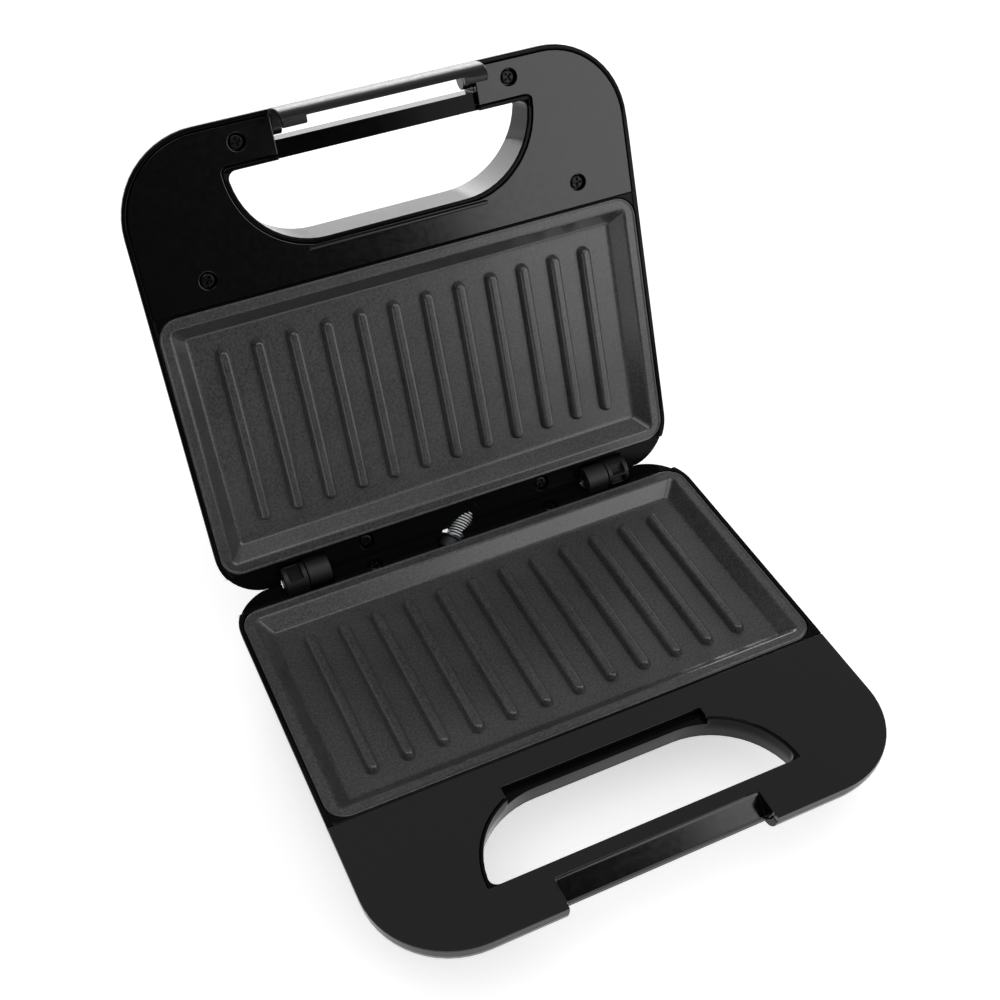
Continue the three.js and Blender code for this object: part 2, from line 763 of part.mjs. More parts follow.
// Flat inner cover of the lid's handle, held by four screws in cups
function lidHandleCover() {
  const plate = slab(lid, insetEdge(rimWidth + clearance), 0, lidCoverThickness);
  const behind = block(lid, -farEdge, farEdge, -coverBehind, farEdge, -overrun, lidDepth);
  const hole = slab(lid, holeOutline(holeWall + clearance), -overrun, lidDepth);
  const notch = block(lid, -cutoutHalfWidth, cutoutHalfWidth, -farEdge, -holeFront, -overrun, lidDepth);
  const holeRear = holeRadius + holeWall + clearance - holeFront;
  const tongue = block(
    lid,
    -tongueHalfWidth,
    tongueHalfWidth,
    holeRear,
    holeRear + tongueThickness,
    -tongueDepth,
    lidCoverThickness,
  );
  const cups = lidScrewPlaces.map(([x, y]) =>
    post(lid, x, y, lidCoverThickness / 2, cupDepth, bossRadius, undefined, roundSides),
  );
  const seat = screwSink + screwHeadHeight + clearance;
  const seats = lidScrewPlaces.flatMap(([x, y]) => [
    post(lid, x, y, -overrun, seat, screwHeadRadius + headClearance, undefined, roundSides),
    post(lid, x, y, -overrun, lidDepth, pilotRadius),
  ]);
  return cut(join(cut(plate, behind, hole, notch), tongue, ...cups), ...seats);
}

// Cast plate with ribs on its cooking side and the heater's seat under it

function ribs(side) {
  const centre = panDepth - ribHeight + ribRadius;
  return Array.from({ length: ribCount }, (_, i) => {
    const rib = new THREE.CapsuleGeometry(ribRadius, ribLength - 2 * ribRadius, 3, 10);
    rib.translate((i - (ribCount - 1) / 2) * ribPitch, 0, side * centre);
    return solidOf(rib);
  });
}

function grillPlate(side) {
  const halfTop = plateWidth / 2 - flangeWidth;
  const reachTop = plateDepth / 2 - flangeWidth;
  const floorHalf = halfTop - wallRun;
  const floorReach = reachTop - wallRun;
  const under = panDepth + panFloor;
  const flange = slab(side, rectangle(plateWidth / 2, plateDepth / 2, plateCorner), 0, flangeThickness);
  const slope = wallRun / panDepth;
  const pan = loft([
    { points: rectangle(halfTop + panFloor, reachTop + panFloor, panCorner + panFloor), z: side * clearance },
    {
      points: rectangle(halfTop + panFloor, reachTop + panFloor, panCorner + panFloor),
      z: side * flangeThickness,
    },
    {
      points: rectangle(floorHalf + panFloor / 2, floorReach + panFloor / 2, panCorner),
      z: side * under,
    },
  ]);
  const pocket = loft([
    {
      points: rectangle(halfTop + slope * overrun, reachTop + slope * overrun, panCorner + slope * overrun),
      z: -side * overrun,
    },
    { points: rectangle(floorHalf, floorReach, panCorner), z: side * panDepth },
  ]);
  const seatOuter = rectangle(
    heaterHalfWidth + seatWidth / 2,
    heaterHalfDepth + seatWidth / 2,
    heaterBend + seatWidth / 2,
  );
  const seatInner = rectangle(
    heaterHalfWidth - seatWidth / 2,
    heaterHalfDepth - seatWidth / 2,
    heaterBend - seatWidth / 2,
  );
  const seat = cut(
    slab(side, seatOuter, under - clearance, under + seatHeight),
    slab(side, seatInner, under - overrun, under + seatHeight + overrun),
    block(
      side,
      -heaterOpening / 2,
      heaterOpening / 2,
      0,
      farEdge,
      under,
      under + seatHeight + overrun,
    ),
  );
  const groove = heaterTube(side, heaterRadius + clearance, overrun);
  return join(cut(join(flange, pan, seat), pocket, groove), ...ribs(side));
}

// The heater follows a rounded rectangle that stays open at the rear
function heaterTube(side, radius, extra) {
  const z = side * (panDepth + panFloor + seatHeight);
  const [half, reach, bend] = [heaterHalfWidth, heaterHalfDepth, heaterBend];
  const end = heaterOpening / 2 - extra;
  const flat = [
    new THREE.Vector2(end, reach),
    ...arc(half - bend, reach - bend, bend, quarter, 0),
    ...arc(half - bend, bend - reach, bend, 0, -quarter),
    ...arc(bend - half, bend - reach, bend, -quarter, -2 * quarter),
    ...arc(bend - half, reach - bend, bend, 2 * quarter, quarter),
    new THREE.Vector2(-end, reach),
  ];
  return tube(flat.map((p) => new THREE.Vector3(p.x, p.y, z)), radius, heaterSides);
}

// A round tube through points that lie in a plane or in space, closed at both ends
function tube(points, radius, sides) {
  const frames = framesAlong(points);
  const position = frames.flatMap(({ point, across, up }) =>
    Array.from({ length: sides }, (_, i) => {
      const angle = (i / sides) * 4 * quarter;
      return point
        .clone()
        .addScaledVector(across, radius * Math.cos(angle))
        .addScaledVector(up, radius * Math.sin(angle))
        .toArray();
    }).flat(),
  );
  const index = [];
  for (let ring = 0; ring + 1 < points.length; ring++) {
    for (let i = 0; i < sides; i++) {
      const next = (i + 1) % sides;
      const [a, b] = [ring * sides + i, ring * sides + next];
      index.push(a, b, b + sides, a, b + sides, a + sides);
    }
  }
  const last = (points.length - 1) * sides;
  for (let i = 1; i + 1 < sides; i++) {
    index.push(0, i + 1, i, last, last + i, last + i + 1);
  }
  const geometry = new THREE.BufferGeometry();
  geometry.setAttribute("position", new THREE.Float32BufferAttribute(position, 3));
  geometry.setIndex(index);
  return solidOf(geometry);
}

// Frames that turn as little as they can from point to point
function framesAlong(points) {
  const heading = (i) => {
    const before = points[Math.max(i - 1, 0)];
    const after = points[Math.min(i + 1, points.length - 1)];
    return after.clone().sub(before).normalize();
  };
  const first = heading(0);
  const seed = Math.abs(first.z) < 0.9 ? new THREE.Vector3(0, 0, 1) : new THREE.Vector3(1, 0, 0);
  let across = seed.clone().cross(first).normalize();
  return points.map((point, i) => {
    const along = heading(i);
    across = across.clone().addScaledVector(along, -across.dot(along)).normalize();
    return { point, across, up: along.clone().cross(across), along };
  });
}

function heatingElement(side) {
  const z = side * (panDepth + panFloor + seatHeight);
  const end = heaterOpening / 2;
  const pins = [-1, 1].map((way) => {
    const inner = way * (end - coldPinLength);
    const outer = way * (end + coldPinLength);
    return rodX(
      heaterHalfDepth,
      z,
      Math.min(inner, outer),
      Math.max(inner, outer),
      coldPinRadius,
      smallSides,
    );
  });
  return join(heaterTube(side, heaterRadius, 0), ...pins);
}

// Pressed tray that hangs under the plate and closes the heater in
function heatReflector(side) {
  const top = panDepth + panFloor + clearance;
  const floor = top + reflectorDepth;
  const shrink = reflectorThickness;
  const corner = heaterBend;
  const [half, reach] = [reflectorHalfWidth - reflectorLip, reflectorHalfDepth - reflectorLip];
  const tray = cut(
    slab(side, rectangle(half, reach, corner), top, floor),
    slab(side, rectangle(half - shrink, reach - shrink, corner - shrink), top - overrun, floor - shrink),
  );
  const lip = cut(
    slab(side, rectangle(reflectorHalfWidth, reflectorHalfDepth, corner + reflectorLip), top, top + shrink),
    slab(side, rectangle(half - shrink, reach - shrink, corner - shrink), top - overrun, top + 2 * shrink),
  );
  const sensorHole = post(
    side,
    0,
    0,
    floor - overrun,
    floor + overrun,
    thermostatRadius + 2 * clearance,
    undefined,
    roundSides,
  );
  const pinWay = block(side, -heaterOpening / 2, heaterOpening / 2, reach - overrun, farEdge, top, floor);
  return cut(join(tray, lip), sensorHole, pinWay);
}

// Clip that hangs from its two trunnions in the lid's cut-out

function clip() {
  const [outerY, innerY] = [-clipReach, -clipReach + clipThickness];
  const bendInner = clipBend - clipThickness / 2;
  const round = (y, depth, radius, from, to, steps) =>
    arc(y, depth, radius, from, to, steps).map((p) => [p.x, p.y]);
  const top = clipTop;
  const nose = clipThickness * 1.3;
  const profile = [
    [outerY + nose, top],
    [outerY + nose / 4, top - nose],
    ...round(outerY + clipBend, clipBend - clipDrop, clipBend, 2 * quarter, 3 * quarter, 5),
    [-clipTip - clipThickness / 3, -clipDrop],
    [-clipTip, -clipDrop + clipThickness / 2],
    [-clipTip, hookTop],
    ...round(innerY + bendInner, hookTop + bendInner, bendInner, 3 * quarter, 2 * quarter, 3),
    [innerY + clipThickness / 3, top - nose],
    [innerY + nose, top - clipThickness / 3],
  ];
  const strip = alongX(lid, profile, -clipHalfWidth, clipHalfWidth);
  const gapHalf = clipHalfWidth - hookWidth;
  const lipCut = block(lid, -gapHalf, gapHalf, -clipLip, -cutoutRear, -clipDrop - overrun, hookTop + overrun);
  const ears = [-1, 1].map((way) => {
    const [near, far] = [clipHalfWidth - earWidth, clipHalfWidth];
    const [left, right] = way > 0 ? [near, far] : [-far, -near];
    const disc = rodX(-clipPivotReach, clipPivotRise, left, right, earRadius);
    const web = alongX(
      lid,
      [
        [-clipPivotReach, clipPivotRise + earRadius / 2],
        [innerY + clipThickness / 2, clipPivotRise + earRadius / 2],
        [outerY + clipThickness / 2, clipPivotRise - earRadius],
        [-clipPivotReach, clipPivotRise - earRadius],
      ],
      left,
      right,
    );
    return disc.add(web);
  });
  const trunnions = [-1, 1].map((way) => {
    const [near, far] = [clipHalfWidth - earWidth, cutoutHalfWidth + wall - clearance];
    const [left, right] = way > 0 ? [near, far] : [-far, -near];
    return rodX(-clipPivotReach, clipPivotRise, left, right, trunnionRadius, smallSides);
  });
  return join(cut(strip, lipCut), ...ears, ...trunnions);
}
const hookTop = -closedGap - shelfDepth - shelfThickness - clearance;

// Hinges

// A knuckle with its arm. The arm goes into the base or, for the lid, into the lid.
function knuckle(side, centre) {
  const towards = side > 0 ? 1 : -1;
  const middle = centre + (towards * (knuckleLength + knuckleGap)) / 2;
  const [left, right] = [middle - knuckleLength / 2, middle + knuckleLength / 2];
  const axis = side > 0 ? hingeRise - closedGap : hingeRise;
  const axisDepth = side > 0 ? axis : -axis;
  const barrel = rodX(hingeBehind, axis, left, right, knuckleRadius);
  const armRear = hingeBehind - armFront + armThickness;
  const arm = block(side, left, right, hingeBehind - armFront, armRear, axisDepth, armReach);
  const coreFront = hingeBehind - knuckleRadius - overrun;
  const cores = [-1, 1].map((way) => {
    const x = middle + way * (coreOut / 2 + coreOut / 4);
    return block(
      side,
      x - coreOut / 2,
      x + coreOut / 2,
      coreFront,
      coreFront + overrun + coreDepth,
      axisDepth - knuckleRadius,
      axisDepth - coreOut / 4,
    );
  });
  const bore = rodX(hingeBehind, axis, left - overrun, right + overrun, pinHole, smallSides);
  return cut(barrel.add(arm), ...cores, bore);
}

// Conduit

const baseFrame = new THREE.Matrix4().makeTranslation(0, 0, flangeHeight);

const lidFrame = new THREE.Matrix4()
  .makeTranslation(0, hingeBehind, flangeHeight + hingeRise)
  .multiply(new THREE.Matrix4().makeRotationX(-openAngle))
  .multiply(new THREE.Matrix4().makeTranslation(0, -hingeBehind, closedGap - hingeRise));

// Both ends of the conduit, seen from a frame
function conduitEnds(frame) {
  const seen = frame.clone().invert();
  const [a, b] = [conduitFromBase, conduitToLid];
  const from = new THREE.Vector3(a.across, hingeBehind - a.front, -a.depth).applyMatrix4(baseFrame);
  const to = new THREE.Vector3(b.across, hingeBehind - b.front, b.depth).applyMatrix4(lidFrame);
  const way = to.clone().sub(from).setLength(conduitSeat);
  return [from.sub(way).applyMatrix4(seen), to.add(way).applyMatrix4(seen)];
}

// A round bar on the conduit's line. Both distances are from its end in that half.
function conduitPost(side, near, far, radius) {
  const ends = conduitEnds(side > 0 ? lidFrame : baseFrame);
  const [seat, other] = side > 0 ? ends.reverse() : ends;
  const bar = new THREE.CylinderGeometry(radius, radius, far - near, roundSides);
  bar.translate(0, (near + far) / 2, 0);
  const way = other.sub(seat).normalize();
  bar.applyQuaternion(new THREE.Quaternion().setFromUnitVectors(new THREE.Vector3(0, 1, 0), way));
  bar.translate(seat.x, seat.y, seat.z);
  return solidOf(bar);
}

// One unbroken wire, wound round the line between the halves
function conduit() {
  const [from, to] = conduitEnds(new THREE.Matrix4());
  const curls = Math.floor(from.distanceTo(to) / conduitPitch);
  const steps = curls * conduitCurlSteps;
  const centres = Array.from({ length: steps + 1 }, (_, i) => from.clone().lerp(to, i / steps));
  const points = framesAlong(centres).map(({ point, across, up }, i) => {
    const angle = (i / conduitCurlSteps) * 4 * quarter;
    return point
      .clone()
      .addScaledVector(across, conduitRadius * Math.cos(angle))
      .addScaledVector(up, conduitRadius * Math.sin(angle));
  });
  const gap = leastGap(points);
  console.log("conduit: " + curls + " curls, least gap to itself " + gap.toFixed(2) + " mm");
  return tube(points, conduitWire / 2, conduitSides);
}

// Least gap between two stretches of the wire that are half a curl or more apart
function leastGap(points) {
  let least = Infinity;
  for (let i = 0; i + 1 < points.length; i++) {
    for (let j = i + conduitCurlSteps / 2; j + 1 < points.length; j++) {
      const line = new THREE.Line3(points[j], points[j + 1]);
      const near = line.closestPointToPoint(points[i], true, new THREE.Vector3());
      least = Math.min(least, near.distanceTo(points[i]));
    }
  }
  return least - conduitWire;
}

// Flanged bush that the conduit runs through
function bush(side) {
  const hole = bushRadius - bushWall;
  const face = conduitSeat - bushHeight + clearance;
  return cut(
    join(
      conduitPost(side, -bushBoss, (face + conduitSeat) / 2, bushRadius),
      conduitPost(side, face, conduitSeat, bushRadius + bushFlange),
    ),
    conduitPost(side, -overrun - bushBoss, farEdge, hole),
  );
}

// Parts on and in the base

function foot(x, y) {
  const under = baseDepth + clearance;
  return join(
    post(base, x, y, under, flangeHeight, footRadius, footRadius - footTaper, roundSides),
    post(base, x, y, under - footStudLength, under + footTaper, footStud),
  );
}

function cordGland() {
  const wallRear = rearAt(glandDepth);
  const front = wallRear - glandLength / 2;
  const rear = wallRear + glandLength / 2;
  return cut(
    join(
      glandForm(glandRadius, front, rear),
      glandForm(glandRadius + glandFlange, wallRear + glandCollar, wallRear + glandCollar + glandFlangeThickness),
    ),
    glandForm(glandBore, front - overrun, rear + overrun),
  );
}

// Rear face of the base housing at a depth under the rim plane
function rearAt(depth) {
  const after = baseRows.findIndex((row) => row.depth >= depth);
  const [low, high] = [baseRows[after - 1], baseRows[after]];
  const share = (depth - low.depth) / (high.depth - low.depth);
  return low.rear + share * (high.rear - low.rear);
}

function thermostat() {
  const top = panDepth + panFloor + clearance;
  const bottom = top + thermostatHeight;
  const tabs = [-1, 1].map((way) => {
    const x = way * (thermostatRadius - tabWidth / 2);
    return block(
      base,
      x - tabThickness / 2,
      x + tabThickness / 2,
      -tabWidth / 2,
      tabWidth / 2,
      bottom - tabThickness,
      bottom + tabLength,
    );
  });
  return join(post(base, 0, 0, top, bottom, thermostatRadius, undefined, roundSides), ...tabs);
}

function thermalFuse() {
  const z = -(reflectorUnder + clearance + fuseRadius);
  const [left, right] = [fuseSide - fuseLength / 2, fuseSide + fuseLength / 2];
  return join(
    rodX(0, z, left, right, fuseRadius, smallSides),
    rodX(0, z, left - fuseLeadLength, right + fuseLeadLength, fuseLead, smallSides),
  );
}

function terminalBlock() {
  const bottom = baseDepth - wall - clearance;
  const body = block(
    base,
    -blockWidth / 2,
    blockWidth / 2,
    blockBehind - blockLength / 2,
    blockBehind + blockLength / 2,
    bottom - blockHeight,
    bottom,
  );
  const ways = [-1, 0, 1].map((i) => {
    const way = new THREE.CylinderGeometry(blockWayRadius, blockWayRadius, farEdge, smallSides);
    way.translate(i * blockWayPitch, 0, -(bottom - blockHeight / 2));
    return solidOf(way);
  });
  return cut(body, ...ways);
}

function lens(x, y) {
  const under = lidDepth - wall - clearance;
  return join(
    post(lid, x, y, under - lensStand, lidDepth + lensStand, lensRadius, undefined, roundSides),
    post(lid, x, y, under - lensStand, under, lensRadius + lensFlange, undefined, roundSides),
  );
}

// Assembly

const grill = new THREE.Group();
const assembly = new THREE.Group();
grill.add(assembly);

const lower = new THREE.Group();
lower.position.z = flangeHeight;
assembly.add(lower);

const hinge = new THREE.Group();
hinge.position.set(0, hingeBehind, flangeHeight + hingeRise);
hinge.rotation.x = -openAngle;
assembly.add(hinge);
const upper = new THREE.Group();
upper.position.set(0, -hingeBehind, closedGap - hingeRise);
hinge.add(upper);

piece("base_shell", baseShell(), glossBlack, lower);
piece("base_handle_cover", baseHandleCover(), coverBlack, lower);
piece("lower_grill_plate", grillPlate(base), nonStick, lower);
piece("lower_heating_element", heatingElement(base), sheathSteel, lower);
piece("lower_heat_reflector", heatReflector(base), sheetSteel, lower);
piece("thermostat", thermostat(), ceramic, lower);
piece("thermal_fuse", thermalFuse(), sheetSteel, lower);
piece("terminal_block", terminalBlock(), ceramic, lower);
piece("cord_gland", cordGland(), matteGrey, lower);
["front_left", "front_right", "rear_left", "rear_right"].forEach((place, i) => {
  piece("foot_" + place, foot(...footPlaces[i]), rubber, lower);
  const [x, y] = baseScrewPlaces[i];
  const fromBelow = join(
    post(base, x, y, baseScrewHead, baseScrewHead + screwHeadHeight, screwHeadRadius),
    post(base, x, y, baseCoverThickness / 2, baseScrewHead + screwHeadHeight / 2, screwShankRadius),
  );
  piece("base_screw_" + place, fromBelow, steel, lower);
  piece("lid_screw_" + place, screw(lid, ...lidScrewPlaces[i], screwSink), steel, upper);
});

piece("lid_outer_cover", lidShell(), glossBlack, upper);
piece("lid_handle_cover", lidHandleCover(), coverBlack, upper);
piece("upper_grill_plate", grillPlate(lid), nonStick, upper);
piece("upper_heating_element", heatingElement(lid), sheathSteel, upper);
piece("upper_heat_reflector", heatReflector(lid), sheetSteel, upper);
piece("closing_clip", clip(), glossBlack, upper);
piece("power_lens", lens(...lensPlaces[0]), redLens, upper);
piece("ready_lens", lens(...lensPlaces[1]), greenLens, upper);

["left", "right"].forEach((place, i) => {
  const centre = (i === 0 ? -1 : 1) * (hingeSpacing / 2);
  piece("base_hinge_" + place, knuckle(base, centre), matteGrey, lower);
  piece("lid_hinge_" + place, knuckle(lid, centre), matteGrey, upper);
  const reach = knuckleLength + knuckleGap / 2;
  const pin = rodX(hingeBehind, hingeRise, centre - reach, centre + reach, hingePinRadius, smallSides);
  piece("hinge_pin_" + place, pin, steel, lower);
  const [x, y] = rearScrewPlaces[i];
  piece("base_rear_screw_" + place, screw(base, x, y, stripDrop + screwSink), steel, lower);
  piece("lid_rear_screw_" + place, screw(lid, x, y, stripDrop + screwSink), steel, upper);
});

piece("base_conduit_bush", bush(base), matteGrey, lower);
piece("lid_conduit_bush", bush(lid), matteGrey, upper);
piece("wiring_conduit", conduit(), brightSteel, assembly);

// The origin is under the middle of the open grill
assembly.updateMatrixWorld(true);
const reach = new THREE.Box3().setFromObject(assembly, true);
assembly.position.y = -(reach.min.y + reach.max.y) / 2;

export default grill;
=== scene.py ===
import math

import bpy
from mathutils import Matrix, Vector


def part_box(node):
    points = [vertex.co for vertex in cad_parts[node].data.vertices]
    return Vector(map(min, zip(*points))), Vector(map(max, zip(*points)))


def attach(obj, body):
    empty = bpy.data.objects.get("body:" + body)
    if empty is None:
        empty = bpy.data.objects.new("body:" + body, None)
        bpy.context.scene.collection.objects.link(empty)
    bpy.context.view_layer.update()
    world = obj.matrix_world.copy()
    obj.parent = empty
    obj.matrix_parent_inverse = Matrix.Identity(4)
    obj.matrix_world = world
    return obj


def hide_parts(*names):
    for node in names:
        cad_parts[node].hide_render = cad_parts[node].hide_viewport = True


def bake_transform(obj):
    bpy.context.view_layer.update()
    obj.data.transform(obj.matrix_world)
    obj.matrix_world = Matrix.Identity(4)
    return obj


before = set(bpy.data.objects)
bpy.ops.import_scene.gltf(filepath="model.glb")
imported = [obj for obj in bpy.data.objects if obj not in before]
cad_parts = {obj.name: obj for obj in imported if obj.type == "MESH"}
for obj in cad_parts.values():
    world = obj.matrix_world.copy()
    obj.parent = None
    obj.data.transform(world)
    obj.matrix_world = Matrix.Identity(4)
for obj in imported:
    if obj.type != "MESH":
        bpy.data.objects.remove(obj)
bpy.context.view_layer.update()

# Sizes in millimetres, in the frame of each half: its rim plane is at zero
MM = 0.001
PLATE = (216, 116.6)
PLATE_CORNER = 9
FLANGE = 5.4
FLANGE_THICKNESS = 2.2
WALL_RUN = 6.2
PAN_DEPTH = 7
RIB_COUNT = 12
RIB_PITCH = 15.2
RIB_LENGTH = 79
FRONT = 129
HALF = 110.2
REAR_REACH = 70
FRONT_CORNER = 36
REAR_CORNER = 22
WALL = 2.2
CORE = 0.9  # ribs and posts inside a housing reach this far from its outside
RIM = 2
COVER = 3  # thickness of the base's flat cover
INNER_COVER = 2.4  # thickness of the lid's
COVER_BEHIND = 59.6
HOLE = (109, 34, 65)  # the finger hole's front edge, its corner radius and half its width
HOLE_CORNER = 3.5
HOLE_LIP = 1.2
HOLE_WALL = 3.8
REBATE = 44
REBATE_REAR = 71.2
CUTOUT = 43.5
CUTOUT_DEPTH = 12.6
SHELF_REAR = 113.2
RAMP_TOP = -115.4  # as y in the base
RAMP_FOOT = (-122.3, -8.3)  # as y and z in the base
TRUNNION = (-122.2, 6)  # the clip's axis, as y and z in the lid
TRUNNION_RADIUS = 1.5
CLIP_HALF = 43.1
HINGE_BEHIND = 67.2
HINGE_RISE = 1.7
HINGE_X = 74
KNUCKLE = 6
KNUCKLE_LENGTH = 10.3
SEAT = 3  # the frame under a plate's flange
SEAT_CORNER = 8
STRIP = (1.5, 8.5)  # depths of the strip behind a plate that holds hinges and screws
REAR_SCREW_X = 43.5
REAR_SCREW_Y = 62.8
BASE_SCREWS = [(-84, -105), (84, -105), (-84, -69.7), (84, -69.7)]
LID_SCREWS = [(-58.5, -119.6), (58.5, -119.6), (-82.8, -69.7), (82.8, -69.7)]
SCREW_HEAD = 3
SCREW_SHANK = 1.5
CUP = (4.6, 4)  # radius and depth of the cup round a screw in the inner cover
ROUND_HOLE = 3.35  # for a foot's stud or a lens
FEET = [(-75, -42), (75, -42), (-75, 55), (75, 55)]
LENS_PLACES = [(-11, -14), (11, -14)]
GLAND_DEPTH = 24
COIL_RADIUS = 3.8
COIL_WIRE = 0.85
COIL_PITCH = 1.36
COIL_CURLS = 22
CLOSED_GAP = 3  # between the rims of the shut halves
OPEN_ANGLE = math.radians(109.8)

# Clearances
GAP = 0.35
SEAT_ROOM = 3.35  # from a flange's inner edge out to the opening under it, past the pan's wall
KNUCKLE_ROOM = 0.7
HEAD_ROOM = 0.6
SHANK_ROOM = 0.4
TRUNNION_ROOM = 0.35

# Lengths past a form that a cut or a loft needs, and the steps of round forms
OVERRUN = 2
FAR = 300
BELOW_BASE = 42
ABOVE_LID = 36
NEAR = 0.002  # two places closer than this are the same
CORNER_STEPS = 14
ROW_STEPS = 3
SHARP = 35  # edges turn sharp from this angle, in degrees
FLOOR_LIFT = 0.58  # light that the camera sees added to the floor

# Rows of a housing: depth, reach to the front, to the rear and to each side, then its corner radii
HANDLE_ROWS = [
    (0, 129, 70, 110.2, 36, 22),
    (4, 128.6, 70, 110, 36, 22),
    (8.1, 127.2, 69.8, 109.2, 35.6, 22),
    (11, 124.2, 69.4, 107.7, 34.2, 22),
    (12.4, 118.6, 69.1, 106.5, 32, 22),
]
BOWL_ROWS = [
    (13.4, 71.5, 69, 105.5, 30.2, 22),
    (20.7, 66.5, 68.6, 103, 27, 21.6),
    (32.3, 60.1, 68, 99.2, 22.3, 19.8),
    (37.8, 56.5, 67, 95.7, 18.7, 17.6),
    (40, 52.9, 65.1, 90.4, 15.1, 15),
]
DOME_ROWS = [
    (0, 129, 70, 110.2, 36, 22),
    (4, 128.7, 70, 110, 36, 22),
    (8.1, 126.9, 69.6, 109, 36, 22),
    (12.1, 122, 68.8, 107, 35.6, 22),
    (15, 113, 67.8, 104.8, 34.9, 22),
    (18, 98, 66.4, 102, 33.8, 21.8),
    (22.1, 82, 64, 98, 32, 20.9),
    (26.1, 70, 60.8, 93.4, 29.9, 19.8),
    (30.1, 57, 56, 87.5, 27, 17.8),
    (33.1, 43, 48, 79, 23, 15.4),
    (34.6, 30.1, 40, 70, 18.7, 12.8),
    (35, 22.1, 34, 64, 15.8, 11),
]

low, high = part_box("lower_grill_plate")
rim_centre = Vector(((low.x + high.x) / 2, (low.y + high.y) / 2, high.z))
BASE = Matrix.Translation(rim_centre) @ Matrix.Scale(MM, 4)
LID = (
    BASE
    @ Matrix.Translation((0, HINGE_BEHIND, HINGE_RISE))
    @ Matrix.Rotation(-OPEN_ANGLE, 4, "X")
    @ Matrix.Translation((0, -HINGE_BEHIND, CLOSED_GAP - HINGE_RISE))
)
HALVES = {"base": BASE, "lid": LID}
TO_LID = LID.inverted() @ BASE
CONDUIT = [Vector((-4.7, 65, -5.5)), TO_LID.inverted() @ Vector((11, 62.6, 8.5))]
CONDUIT_WAY = (CONDUIT[1] - CONDUIT[0]).normalized()
CONDUIT_SEAT = 4


# Materials


def colour(code):
    """A written sRGB colour as the linear colour that Blender works in."""
    parts = [int(code[i : i + 2], 16) / 255 for i in (1, 3, 5)]
    linear = [p / 12.92 if p <= 0.04045 else ((p + 0.055) / 1.055) ** 2.4 for p in parts]
    return (*linear, 1)


def node(tree, kind, inputs=None, **settings):
    """Adds a node with its settings; an input is a number, a colour or another node's output."""
    made = tree.nodes.new(kind)
    for name, value in settings.items():
        setattr(made, name, value)
    for name, value in (inputs or {}).items():
        if isinstance(value, bpy.types.NodeSocket):
            tree.links.new(value, made.inputs[name])
        else:
            made.inputs[name].default_value = value
    return made


def new_finish(
    name, shades, cloud, relief, strength, depth, grain=None, rough=None, speckled=False, **constants
):
    """A new material made of patterns, each given by its patch size in millimetres, detail and roughness.

    The clouds mix the two shades, with the grain where it is speckled. The relief, depth millimetres
    deep, catches the light. The grain also takes the roughness from its low to its high value, which
    come first in rough, between the two levels of the pattern that come after them.
    """
    made = bpy.data.materials.new(name)
    made.use_nodes = True
    tree = made.node_tree
    surface = tree.nodes["Principled BSDF"]
    for key, value in constants.items():
        surface.inputs[key.replace("_", " ")].default_value = value
    point = node(tree, "ShaderNodeTexCoord").outputs["Object"]
    settings = {0: point, 1: (1 / MM, 1 / MM, 1 / MM)}
    point = node(tree, "ShaderNodeVectorMath", settings, operation="MULTIPLY").outputs[0]
    patterns = []
    for size, detail, roughness in (cloud, relief, grain) if grain else (cloud, relief):
        settings = {"Vector": point, "Scale": 1 / size, "Detail": detail, "Roughness": roughness}
        patterns.append(node(tree, "ShaderNodeTexNoise", settings).outputs[0])
    shade = patterns[0]
    if speckled:
        settings = {0: shade, 1: 0.3, 2: patterns[2]}
        mixed = node(tree, "ShaderNodeMath", settings, operation="MULTIPLY_ADD").outputs[0]
        shade = node(tree, "ShaderNodeMapRange", {0: mixed, 1: 0.47, 2: 0.83}).outputs[0]
    settings = {0: shade, 6: colour(shades[0]), 7: colour(shades[1])}
    mixed = node(tree, "ShaderNodeMix", settings, data_type="RGBA")
    tree.links.new(mixed.outputs[2], surface.inputs["Base Color"])
    if grain:
        low, high, start, end = rough
        settings = {0: patterns[2], 1: start, 2: end, 3: low, 4: high}
        tree.links.new(node(tree, "ShaderNodeMapRange", settings).outputs[0], surface.inputs["Roughness"])
    settings = {"Height": patterns[1], "Strength": strength, "Distance": depth * MM}
    tree.links.new(node(tree, "ShaderNodeBump", settings).outputs[0], surface.inputs["Normal"])
    return made


def gloss_plastic(name, shades, low, high, wave, depth, **constants):
    """Plastic from a polished tool: fine scuffs in its gloss over a slow waviness."""
    rough = (low, high, 0.35, 0.75)
    scuffs = (2.6, 5, 0.62)
    return new_finish(name, shades, (38, 3, 0.5), (wave, 2, 0.5), 0.2, depth, scuffs, rough, **constants)


def soft_plastic(name, shades, roughness, skin):
    """Dull plastic, rubber or clay with a sandy skin, whose grains are skin millimetres wide."""
    rough = (roughness * 0.85, roughness * 1.15, 0.3, 0.7)
    sand = (skin, 3, 0.5)
    return new_finish(name, shades, (7, 3, 0.5), sand, 0.3, 0.05, sand, rough, IOR=1.5)


def fine_metal(name, shades, roughness, skin):
    """Metal with a fine skin left by its rolling or drawing."""
    rough = (roughness * 0.8, roughness * 1.3, 0.3, 0.7)
    lines = (skin, 3, 0.5)
    return new_finish(name, shades, (4, 3, 0.5), lines, 0.15, 0.02, lines, rough, Metallic=1)


def lens_plastic(name, shades):
    """Clear plastic with an even gloss over slightly uneven colour."""
    return new_finish(name, shades, (2.5, 2, 0.5), (1.2, 1, 0.5), 0.1, 0.02, Roughness=0.08, IOR=1.58)


# Injection-moulded ABS from a polished tool: deep black, mirror-like with a slow waviness
housing_black = gloss_plastic(
    "moulded_ABS_gloss", ("#0a0a0b", "#0c0c0d"), 0.1, 0.17, 9, 0.02, IOR=1.36, Specular_IOR_Level=0.16
)
